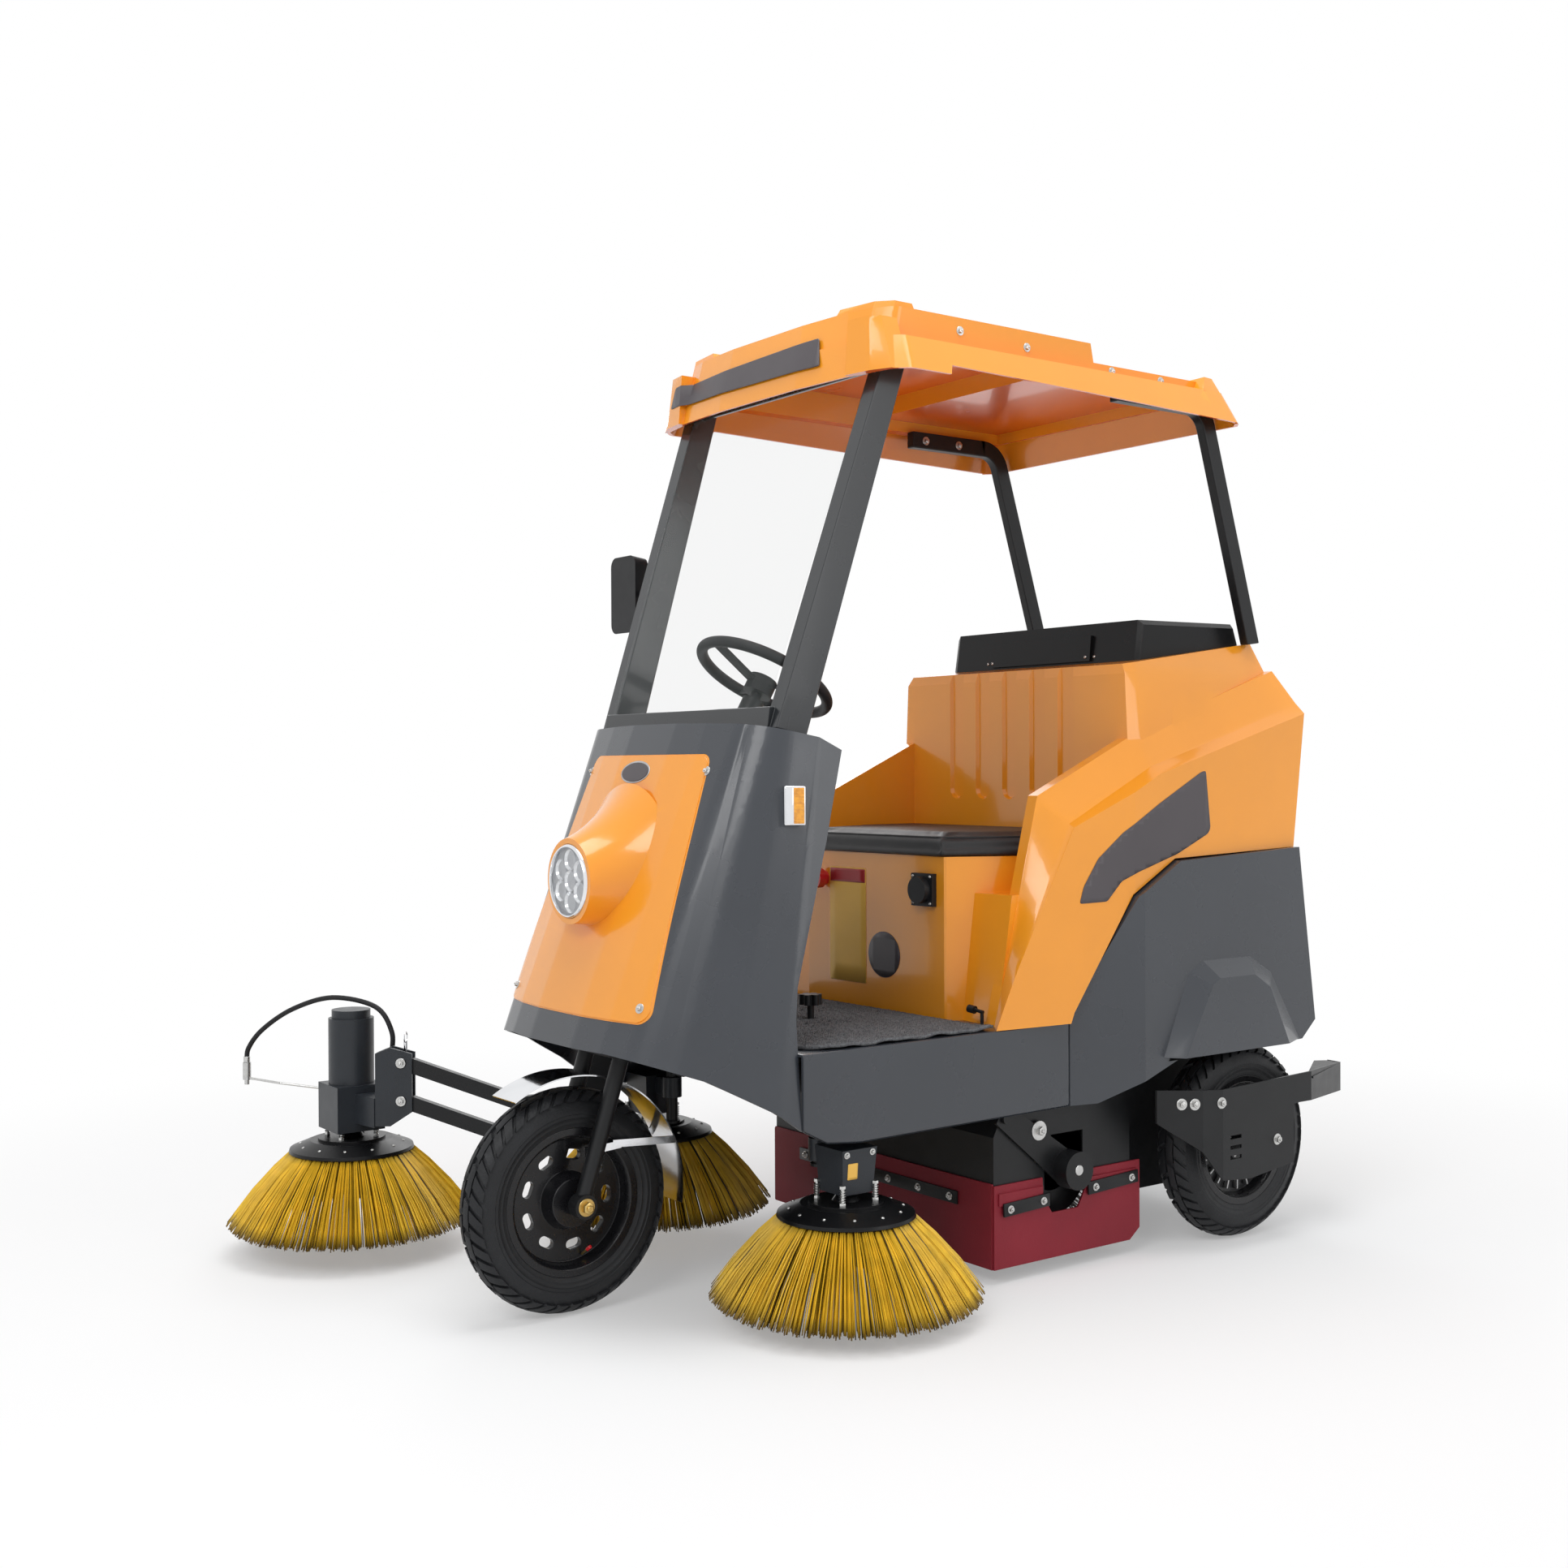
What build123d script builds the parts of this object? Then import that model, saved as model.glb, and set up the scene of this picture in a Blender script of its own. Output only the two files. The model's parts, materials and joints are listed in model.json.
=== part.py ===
"""Compact three-wheel road sweeper with a canopy, in millimetres.

+Z is up, +Y points to the rear and +X is the machine's left.  The origin lies on the
ground, on the centre line, straight below the front wheel's axle.
"""

import os
from math import cos, hypot, radians, sin

from build123d import *

os.makedirs("parts", exist_ok=True)

# ---------------------------------------------------------------- driving dimensions
WHEELBASE = 1626
HALF_TRACK = 443
TYRE_R = 240
TYRE_W = 92
RIM_R = 158
AXLE_R = 10
RUNNING_GAP = 0.05          # radial clearance of a shaft in its bore
SEAT_GAP = 0.3              # gap between bodies that rest face to face
WALL = 6                    # moulded covers

RAKE = 18                   # steering axis, leaning back from the vertical
HEAD_Z = 560                # lower end of the head tube
HEAD_L = 110
STEM_R = 17
HEAD_R = 30
FORK_HALF = 72              # fork leg to centre line
FORK_R = 18

FLOOR_Z = 575               # top of the foot well's floor
SILL_HALF = 450
SILL_BOTTOM = 378
RAIL_HALF = 215
RAIL_W = 40
RAIL_H = 50
RAIL_TOP = FLOOR_Z - WALL - 2
SKIRT_HALF = 506            # outer face of the rear skirts
BODY_HALF = 488             # outer face of the rear body at the belt
BELT_Z = 955
REAR_Y = 1850

ROOF_HALF = 472
ROOF_FRONT = 535
ROOF_REAR = 1665
ROOF_Z = 2000               # lower edge of the canopy
ROOF_H = 150

BRUSH_TIP_R = 285
BRUSH_DISC_R = 148
BRUSH_H = 180               # bristle tips to the disc's lower rim
DISC_H = 26
STEER_WHEEL_R = 170

AXLE_Z = TYRE_R


def face_yz(x, points):
    """A closed side outline, given as (y, z) points, on the plane at x."""
    with BuildSketch(Plane.YZ.offset(x), mode=Mode.PRIVATE) as outline:
        with BuildLine():
            Polyline(*points, close=True)
        make_face()
    return outline.sketch


def slab(points, x_from, x_to, mode=Mode.ADD):
    """Extrude a side outline from x_from to x_to."""
    extrude(face_yz(x_from, points), amount=x_to - x_from, mode=mode)


def plan_face(z, points, ease=0):
    """A closed plan outline, given as (x, y) points, at height z; ease rounds all but its rearmost corners."""
    with BuildSketch(Plane.XY.offset(z), mode=Mode.PRIVATE) as outline:
        with BuildLine():
            Polyline(*points, close=True)
        make_face()
        if ease:
            rear = max(y for x, y in points)
            fillet([corner for corner in outline.vertices() if corner.Y < rear - 6], ease)
    return outline.sketch


def tapered(low_z, low, high_z, high, mode=Mode.ADD, ease=(0, 0)):
    """Loft straight between two plan outlines with as many points each, their corners eased."""
    lower = plan_face(low_z, low, ease[0])
    upper = plan_face(high_z, high, ease[1])
    loft([lower.face(), upper.face()], ruled=True, mode=mode)


def both_sides(right_half):
    """Complete a list of (x, y) points, front to rear on the left, with its mirror."""
    return right_half + [(-x, y) for x, y in reversed(right_half)]


def block(x, y, z, mode=Mode.ADD):
    """A box from its (low, high) limits on each axis."""
    with Locations((sum(x) / 2, sum(y) / 2, sum(z) / 2)):
        Box(x[1] - x[0], y[1] - y[0], z[1] - z[0], mode=mode)


def rod(start, end, radius, mode=Mode.ADD):
    """A round bar between two points."""
    path = Vector(*end) - Vector(*start)
    with BuildSketch(Plane(origin=start, z_dir=path), mode=Mode.PRIVATE) as section:
        Circle(radius)
    extrude(section.sketch, amount=path.length, mode=mode)


def bar(start, end, width, height, mode=Mode.ADD):
    """A rectangular bar between two points, width across and height in its upright plane."""
    path = Vector(*end) - Vector(*start)
    across = Vector(0, 0, 1).cross(path)
    with BuildSketch(Plane(origin=start, x_dir=across, z_dir=path), mode=Mode.PRIVATE) as section:
        Rectangle(width, height)
    extrude(section.sketch, amount=path.length, mode=mode)


def save(piece, name):
    """Label a finished piece and write its STEP file."""
    piece.part.label = name
    export_step(piece.part, "parts/" + name + ".step")


# ------------------------------------------------------------------------ running gear
def tyre(name, centre):
    """Tyre with a round shoulder, turning about the X axis."""
    x, y, z = centre
    half = TYRE_W / 2
    bead = RIM_R + SEAT_GAP
    with BuildPart() as rubber:
        with BuildSketch(Plane(origin=(x, y, z), x_dir=(1, 0, 0), z_dir=(0, -1, 0))):
            with BuildLine():
                Line((-half + 8, bead), (half - 8, bead))
                Spline((half - 8, bead), (half, TYRE_R - 42), (half - 12, TYRE_R - 12))
                ThreePointArc((half - 12, TYRE_R - 12), (0, TYRE_R), (-half + 12, TYRE_R - 12))
                Spline((-half + 12, TYRE_R - 12), (-half, TYRE_R - 42), (-half + 8, bead))
            make_face()
        revolve(axis=Axis((x, y, z), (1, 0, 0)))
    save(rubber, name)


def rim(name, centre, windows, window_r, hub_half):
    """Pressed rim: a dished disc with windows, a well and a bored hub."""
    x, y, z = centre
    half = TYRE_W / 2 - 8
    with BuildPart() as wheel:
        with BuildSketch(Plane(origin=(x, y, z), x_dir=(1, 0, 0), z_dir=(0, -1, 0))):
            with BuildLine():
                Polyline((-half, RIM_R), (half, RIM_R), (half, RIM_R - 16), (half - 8, RIM_R - 22),
                         (8, RIM_R - 26), (8, 62), (hub_half, 52), (hub_half, AXLE_R + RUNNING_GAP),
                         (-hub_half, AXLE_R + RUNNING_GAP), (-hub_half, 52), (-8, 62),
                         (-8, RIM_R - 26), (-half + 8, RIM_R - 22), (-half, RIM_R - 16), close=True)
            make_face()
        revolve(axis=Axis((x, y, z), (1, 0, 0)))
        with BuildSketch(Plane(origin=(x - half, y, z), x_dir=(0, 1, 0), z_dir=(1, 0, 0))):
            with PolarLocations(97, windows):
                SlotOverall(window_r * 2.6, window_r * 1.5, rotation=90)
        extrude(amount=2 * half, mode=Mode.SUBTRACT)
    save(wheel, name)


FRONT_HUB = 42
REAR_HUB = 34
tyre("front_tyre", (0, 0, AXLE_Z))
rim("front_rim", (0, 0, AXLE_Z), 9, 14, FRONT_HUB)
for side, sign in (("left", 1), ("right", -1)):
    wheel_centre = (sign * HALF_TRACK, WHEELBASE, AXLE_Z)
    tyre("rear_tyre_" + side, wheel_centre)
    rim("rear_rim_" + side, wheel_centre, 10, 12, REAR_HUB)

# ------------------------------------------------------------------------ front fork
# The steering axis leans back by RAKE and passes through the front axle.
axis_dir = Vector(0, sin(radians(RAKE)), cos(radians(RAKE)))
axle_centre = Vector(0, 0, AXLE_Z)


def on_axis(height):
    """The point of the steering axis at a given height over the ground."""
    return axle_centre + axis_dir * ((height - AXLE_Z) / axis_dir.Z)


yoke_centre = on_axis(HEAD_Z - 24)
with BuildPart() as fork:
    for sign in (1, -1):
        leg = Vector(sign * FORK_HALF, 0, 0)
        rod(tuple(axle_centre + leg), tuple(yoke_centre + leg), FORK_R)
        rod((sign * (FORK_HALF - 12), 0, AXLE_Z), (sign * (FORK_HALF + FORK_R + 4), 0, AXLE_Z), 26)
    with BuildSketch(Plane(origin=tuple(yoke_centre), x_dir=(1, 0, 0), z_dir=axis_dir)):
        SlotOverall(2 * (FORK_HALF + FORK_R + 4), 52)
    extrude(amount=18)
    rod((-FORK_HALF, 0, AXLE_Z), (FORK_HALF, 0, AXLE_Z), AXLE_R)
    rod(tuple(yoke_centre), tuple(on_axis(HEAD_Z + HEAD_L + 26)), STEM_R)
save(fork, "front_fork")

FENDER_R = 268
FENDER_W = 102
FENDER_T = 3
with BuildPart() as front_fender:
    with BuildSketch(Plane.YZ.offset(-FENDER_W / 2)):
        with Locations((0, AXLE_Z)):
            Circle(FENDER_R + FENDER_T)
            Circle(FENDER_R, mode=Mode.SUBTRACT)
    extrude(amount=FENDER_W)
    # keep the arc from ahead of the wheel's top, round the rear, to below the axle's level
    keep = [(cos(radians(a)) * 400, AXLE_Z + sin(radians(a)) * 400) for a in (-8, 10, 60, 100, 122)]
    slab([(0, AXLE_Z)] + keep, -FENDER_W / 2, FENDER_W / 2, mode=Mode.INTERSECT)
    for sign in (1, -1):
        bar((sign * (FENDER_W / 2 - 2), 90, AXLE_Z + 115), (sign * (FENDER_W / 2 - 2), 248, AXLE_Z + 105), 4, 16)
        block(sorted((sign * (FENDER_W / 2 - 4), sign * (FORK_HALF - FORK_R - SEAT_GAP))), (20, 60),
              (AXLE_Z + 96, AXLE_Z + 116))
        bar((sign * (FENDER_W / 2 - 2), 30, AXLE_Z + 106), (sign * (FENDER_W / 2 - 2), 110, AXLE_Z + 112), 4, 16)
save(front_fender, "front_fender")

# ------------------------------------------------------------------------ chassis
RAIL_FRONT = 150
RAIL_REAR = 1790
AXLE_PLATE_X = HALF_TRACK - TYRE_W / 2 - 16        # inner face of the rear wheels' carrier plates
AXLE_PLATE_T = 8
head_low = on_axis(HEAD_Z)
head_high = on_axis(HEAD_Z + HEAD_L)
rail_z = (RAIL_TOP - RAIL_H, RAIL_TOP)
with BuildPart() as chassis_frame:
    for sign in (1, -1):
        inner, outer = sign * (RAIL_HALF - RAIL_W / 2), sign * (RAIL_HALF + RAIL_W / 2)
        block(sorted((inner, outer)), (RAIL_FRONT, RAIL_REAR), rail_z)
        for y in (560, 1000):
            block(sorted((outer, sign * (SILL_HALF - WALL - SEAT_GAP))), (y, y + RAIL_W), rail_z)
        # the carrier of a rear wheel: an arm out of the rail, a plate and a stub axle
        plate_x = sorted((sign * (AXLE_PLATE_X - AXLE_PLATE_T), sign * AXLE_PLATE_X))
        block(sorted((outer, sign * AXLE_PLATE_X)), (WHEELBASE - 60, WHEELBASE + 60), rail_z)
        block(plate_x, (WHEELBASE - 45, WHEELBASE + 45), (AXLE_Z - 40, RAIL_TOP - RAIL_H))
        rod((sign * (AXLE_PLATE_X - 2), WHEELBASE, AXLE_Z),
            (sign * (HALF_TRACK + REAR_HUB + 8), WHEELBASE, AXLE_Z), AXLE_R)
    for y in (300, 830, 1290, RAIL_REAR - RAIL_W):
        block((-RAIL_HALF, RAIL_HALF), (y, y + RAIL_W), rail_z)
    # two gussets and a cap carry the head tube ahead of the first cross-member
    for x in (-46, 40):
        slab([(RAIL_FRONT - 40, HEAD_Z - 6), (300, rail_z[0]), (300, rail_z[1]), (200, HEAD_Z + HEAD_L - 10),
              (RAIL_FRONT - 10, HEAD_Z + HEAD_L - 10)], x, x + 6)
    block((-46, 46), (RAIL_FRONT - 30, RAIL_FRONT + 40), (HEAD_Z + 36, HEAD_Z + 56))
    rod(tuple(head_low), tuple(head_high), HEAD_R)
    rod(tuple(on_axis(HEAD_Z - 10)), tuple(on_axis(HEAD_Z + HEAD_L + 10)), STEM_R + RUNNING_GAP,
        mode=Mode.SUBTRACT)
save(chassis_frame, "chassis_frame")

# ------------------------------------------------------------------------ front cowl
COWL_LOW_Z, COWL_HIGH_Z = 380, 1262
cowl_low = [(90, -112), (190, -100), (285, -72), (352, 10), (408, 120), (SILL_HALF, 240), (SILL_HALF, 420)]
cowl_high = [(90, 236), (190, 246), (290, 262), (346, 290), (366, 340), (376, 410), (380, 480)]
COWL_EASE = (130, 95)       # rounding of the cowl's plan at its foot and top
cowl_side = [(-220, COWL_HIGH_Z), (-220, 577), (-20, 577), (112, 530), (236, 463), (300, 418),
             (300, 640), (309, 710), (403, 1007), (455, 1195), (400, 1222), (230, 1256), (180, COWL_HIGH_Z)]


def inset(points, wall):
    """Pull a half outline of (x, y) points in by the wall's thickness."""
    middle = Vector(0, 300)
    return [(x - wall * (x / hypot(x, y - middle.Y)) * 1.2, y - wall * (y - middle.Y) / hypot(x, y - middle.Y) * 1.2)
            for x, y in points]


with BuildPart() as cowl_room:
    tapered(COWL_LOW_Z, both_sides(inset(cowl_low, WALL)), COWL_HIGH_Z, both_sides(inset(cowl_high, WALL)),
            ease=COWL_EASE)
    slab([(-220, COWL_HIGH_Z), (-220, COWL_LOW_Z), (310, COWL_LOW_Z), (310, FLOOR_Z + WALL),
          (300 - WALL, FLOOR_Z + WALL), (300 - WALL, 640), (309 - WALL, 710), (403 - WALL, 1007),
          (455 - WALL, 1195 - WALL), (400, 1222 - WALL), (230, 1256 - WALL), (180, COWL_HIGH_Z - WALL)],
         -SILL_HALF, SILL_HALF, mode=Mode.INTERSECT)

# The panel's opening in the cowl's front wall, as (half width, height) at its foot and top.
PANEL_FOOT = (292, 640)
PANEL_TOP = (236, 1188)
PANEL_GAP = 4


def panel_outline(margin, y):
    """The front panel's outline seen from ahead, drawn in from its opening by a margin."""
    with BuildSketch(Plane(origin=(0, y, 0), x_dir=(1, 0, 0), z_dir=(0, -1, 0)), mode=Mode.PRIVATE) as outline:
        with BuildLine():
            low_x, low_z = PANEL_FOOT[0] - margin, PANEL_FOOT[1] + margin
            high_x, high_z = PANEL_TOP[0] - margin, PANEL_TOP[1] - margin
            Polyline((-low_x, low_z), (low_x, low_z), (high_x, high_z), (-high_x, high_z), close=True)
        make_face()
        fillet(outline.vertices(), 26)
    return outline.sketch


# The steering wheel's shaft runs down from its hub to the top of the fork's stem.
WHEEL_HUB = Vector(0, 530, 1366)
SHAFT_FOOT = Vector(0, 168, 736)
SHAFT_R = 12
TUBE_R = 26
shaft_dir = (WHEEL_HUB - SHAFT_FOOT).normalized()


def on_shaft(distance):
    """The point of the steering wheel's axis at a distance below the hub."""
    return WHEEL_HUB - shaft_dir * distance


with BuildPart() as front_cowl:
    tapered(COWL_LOW_Z, both_sides(cowl_low), COWL_HIGH_Z, both_sides(cowl_high), ease=COWL_EASE)
    slab(cowl_side, -SILL_HALF - 10, SILL_HALF + 10, mode=Mode.INTERSECT)
    add(cowl_room.part, mode=Mode.SUBTRACT)
    extrude(panel_outline(0, 270), amount=500, mode=Mode.SUBTRACT)
    rod(tuple(on_shaft(430)), tuple(on_shaft(60)), TUBE_R + SEAT_GAP, mode=Mode.SUBTRACT)
save(front_cowl, "front_cowl")

# ------------------------------------------------------------------------ front panel and lamp
LAMP_Z = 918
LAMP_Y = 14
LAMP_R = 80
PANEL_T = 5
BOSS_RINGS = ((0, 0, 12), (48, 9, 26), (96, 20, 50), (150, 36, 92))     # behind the lamp, rise, flare


def lamp_boss(shrink, mode):
    """The panel's boss, tapering from the lamp's rim back into the panel."""
    rings = []
    for back, rise, flare in BOSS_RINGS:
        with BuildSketch(Plane(origin=(0, LAMP_Y + back, LAMP_Z + rise), x_dir=(1, 0, 0), z_dir=(0, -1, 0)),
                         mode=Mode.PRIVATE) as ring:
            Circle(LAMP_R + flare - shrink)
        rings.append(ring.sketch.face())
    loft(rings, mode=mode)


with BuildPart() as panel_skin:
    tapered(COWL_LOW_Z, both_sides(inset(cowl_low, -3)), COWL_HIGH_Z, both_sides(inset(cowl_high, -3)),
            ease=COWL_EASE)
    lamp_boss(0, Mode.ADD)
with BuildPart() as panel_back:
    tapered(COWL_LOW_Z, both_sides(inset(cowl_low, PANEL_T - 3)), COWL_HIGH_Z, both_sides(inset(cowl_high, PANEL_T - 3)),
            ease=COWL_EASE)
    lamp_boss(12 - SEAT_GAP, Mode.ADD)
with BuildPart() as panel_flange:
    tapered(COWL_LOW_Z, both_sides(inset(cowl_low, 0)), COWL_HIGH_Z, both_sides(inset(cowl_high, 0)), ease=COWL_EASE)
    extrude(panel_outline(SEAT_GAP, 268), amount=500, mode=Mode.INTERSECT)
with BuildPart() as front_panel:
    extrude(panel_outline(PANEL_GAP, 268), amount=500)
    add(panel_skin.part, mode=Mode.INTERSECT)
    add(panel_flange.part)
    add(panel_back.part, mode=Mode.SUBTRACT)
    rod((0, LAMP_Y + 100, LAMP_Z), (0, LAMP_Y - 30, LAMP_Z), LAMP_R + SEAT_GAP, mode=Mode.SUBTRACT)
save(front_panel, "front_panel")

with BuildPart() as headlamp:
    rod((0, LAMP_Y + 52, LAMP_Z), (0, LAMP_Y + 4, LAMP_Z), LAMP_R)
    rod((0, LAMP_Y + 6, LAMP_Z), (0, LAMP_Y - 6, LAMP_Z), LAMP_R - 6)
save(headlamp, "headlamp")

# ------------------------------------------------------------------------ floor tub
TUB_FRONT = 300 + SEAT_GAP
TUB_REAR = 1060
tub_side = [(TUB_FRONT, 418), (363, 386), (448, SILL_BOTTOM), (TUB_REAR, SILL_BOTTOM + 6),
            (TUB_REAR, FLOOR_Z), (TUB_FRONT, FLOOR_Z)]
with BuildPart() as floor_tub:
    slab(tub_side, -SILL_HALF, SILL_HALF)
    slab([(TUB_FRONT - 5, SILL_BOTTOM - 5), (TUB_REAR + 5, SILL_BOTTOM - 5), (TUB_REAR + 5, FLOOR_Z - WALL),
          (TUB_FRONT - 5, FLOOR_Z - WALL)], -SILL_HALF + WALL, SILL_HALF - WALL, mode=Mode.SUBTRACT)
save(floor_tub, "floor_tub")

MAT_T = 7
KNOB = (79, 600)            # the floor knob's stud comes up through a hole in the mat
KNOB_STUD_R = 8
with BuildPart() as floor_mat:
    with BuildSketch(Plane.XY.offset(FLOOR_Z)):
        with BuildLine():
            Polyline(*both_sides([(200, 318), (372, 322), (404, 340), (428, 372), (440, 420), (440, 834), (350, 834)]),
                     close=True)
        make_face()
        with Locations(KNOB):
            Circle(KNOB_STUD_R + 4, mode=Mode.SUBTRACT)
    extrude(amount=MAT_T)
save(floor_mat, "floor_mat")

# ------------------------------------------------------------------------ rear skirts
SKIRT_FRONT = TUB_REAR + SEAT_GAP
SKIRT_INNER = 446
skirt_side = [(SKIRT_FRONT, 384), (1130, 385), (1364, 467), (1822, 474), (1874, 519), (1812, BELT_Z),
              (1374, BELT_Z - 20), (1235, 857), (SKIRT_FRONT, 600)]
skirt_room = [(SKIRT_FRONT + WALL, 300), (1900, 300), (1900, 519), (1868, 519), (1806, BELT_Z - WALL),
              (1378, BELT_Z - 26), (1241, 853), (SKIRT_FRONT + WALL, 590)]
bulge_low = [(1313, 476), (1400, 668), (1450, 694), (1620, 694), (1700, 650), (1810, 476)]
bulge_high = [(1345, 476), (1440, 640), (1466, 655), (1592, 655), (1650, 620), (1722, 476)]
bulge_room_low = [(1325, 466), (1406, 660), (1453, 686), (1617, 686), (1694, 644), (1798, 466)]
bulge_room_high = [(1354, 466), (1446, 632), (1469, 647), (1589, 647), (1644, 614), (1713, 466)]
BULGE_OUT = 40


def skirt_plan(sign, wall):
    """A skirt's plan outline: it widens from the sill to the wheel, drawn in by a wall."""
    return [(sign * (SKIRT_INNER - wall), SKIRT_FRONT - 1), (sign * (SILL_HALF - wall), SKIRT_FRONT - 1),
            (sign * (SKIRT_HALF - wall), SKIRT_FRONT + 190), (sign * (SKIRT_HALF - wall), 1900),
            (sign * (SKIRT_INNER - wall), 1900)]


with BuildPart() as skirt_hollow:
    for sign in (1, -1):
        extrude(plan_face(290, skirt_plan(sign, WALL)), amount=800)
    slab(skirt_room, -SKIRT_HALF, SKIRT_HALF, mode=Mode.INTERSECT)
with BuildPart() as rear_skirts:
    for sign in (1, -1):
        extrude(plan_face(290, skirt_plan(sign, 0)), amount=800)
    slab(skirt_side, -SKIRT_HALF, SKIRT_HALF, mode=Mode.INTERSECT)
    for sign in (1, -1):
        loft([face_yz(sign * SKIRT_HALF, bulge_low).face(),
              face_yz(sign * (SKIRT_HALF + BULGE_OUT), bulge_high).face()], ruled=True)
    add(skirt_hollow.part, mode=Mode.SUBTRACT)
    for sign in (1, -1):
        loft([face_yz(sign * (SKIRT_HALF - WALL - 1), bulge_room_low).face(),
              face_yz(sign * (SKIRT_HALF + BULGE_OUT - WALL), bulge_room_high).face()], ruled=True,
             mode=Mode.SUBTRACT)
save(rear_skirts, "rear_skirts")

# ------------------------------------------------------------------------ rear body
# The orange cover: two side wings, the tall box over the dust bin and the seat's base.
SEAT_Z = 952                # top of the seat base
SEAT_FRONT = 850
BACK_Y = 1300               # backrest
RIDGE_HALF = 456
ARM_HALF = 404
BODY_FOOT = FLOOR_Z + SEAT_GAP
foot = [(1055, 600), (1231, 861), (1373, BELT_Z - 15), (1812, BELT_Z + SEAT_GAP)]
wing_face = foot + [(1856, 1290), (1324, 1140), (1056, 1010), (850, BODY_FOOT), (1045, BODY_FOOT)]
wing_ridge = foot + [(1862, 1317), (1324, 1157), (1054, 1028), (828, BODY_FOOT), (1045, BODY_FOOT)]
wing_arm = foot + [(1835, 1400), (1330, 1238), (1005, 1092), (870, BODY_FOOT), (1045, BODY_FOOT)]
WING_T = 30
seat_plan = [(258, SEAT_FRONT), (262, SEAT_FRONT + 4), (352, 1050), (ARM_HALF, 1052), (ARM_HALF, BACK_Y + 40)]
box_low = [(420, BACK_Y), (438, BACK_Y + 40), (478, 1815)]
box_mid = [(398, BACK_Y), (404, BACK_Y + 40), (388, 1838)]
box_high = [(330, BACK_Y + 30), (352, BACK_Y + 80), (346, 1806)]
BOX_EASE = (34, 26)         # rounding of the box's plan at its foot and top
LEDGE_FRONT, LEDGE_Z = 905, 868                     # the step between the seat's base and a wing
FLUTE_DEPTH, FLUTE_W, FLUTE_PITCH = 9, 54, 100      # five grooves down the backrest
FLUTE_LOW = 1075
BOX_MID_Z = 1380
BOX_HIGH_Z = 1490
top_slope = [(BACK_Y - 5, 1402), (1880, 1481), (1880, 1600), (BACK_Y - 5, 1600)]


def inner(points, wall):
    """Pull a side outline in towards its middle by a wall."""
    middle_y = sum(y for y, z in points) / len(points)
    middle_z = sum(z for y, z in points) / len(points)
    pulled = []
    for y, z in points:
        reach = hypot(y - middle_y, z - middle_z)
        pulled.append((y - wall * 1.5 * (y - middle_y) / reach, z - wall * 1.5 * (z - middle_z) / reach))
    return pulled


def narrowed(points, wall):
    """Pull a half plan outline in by a wall, front and side alike."""
    rear = max(y for x, y in points)
    return [(x - wall, y + wall if y < rear else y - wall) for x, y in points]


with BuildPart() as body_room:
    for sign in (1, -1):
        loft([face_yz(sign * (RIDGE_HALF - WALL), inner(wing_ridge, WALL)).face(),
              face_yz(sign * ARM_HALF, inner(wing_arm, WALL)).face()], ruled=True)
        slab(inner(wing_arm, WALL), *sorted((sign * ARM_HALF, sign * (ARM_HALF - WING_T + WALL))))
        block(sorted((sign * (240 - WALL), sign * (ARM_HALF - WALL))), (LEDGE_FRONT + 40, 1060),
              (FLOOR_Z - 20, LEDGE_Z - WALL))
    block((-258 + WALL, 258 - WALL), (SEAT_FRONT + WALL, BACK_Y + 60), (FLOOR_Z - 20, SEAT_Z - WALL))
    block((-352 + WALL, 352 - WALL), (1050 + WALL, BACK_Y + 60), (FLOOR_Z - 20, SEAT_Z - WALL))
    tapered(BELT_Z - 80, both_sides(narrowed(box_low, WALL)), BOX_MID_Z - 2, both_sides(narrowed(box_mid, WALL)))
    tapered(BOX_MID_Z - 3, both_sides(narrowed(box_mid, WALL + 1)), BOX_HIGH_Z - 3,
            both_sides(narrowed(box_high, WALL + 1)))
    block((-260, 260), (BACK_Y, BACK_Y + WALL + FLUTE_DEPTH), (1000, 1600), mode=Mode.SUBTRACT)
    slab([(y, z - WALL) for y, z in top_slope], -500, 500, mode=Mode.SUBTRACT)

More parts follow.
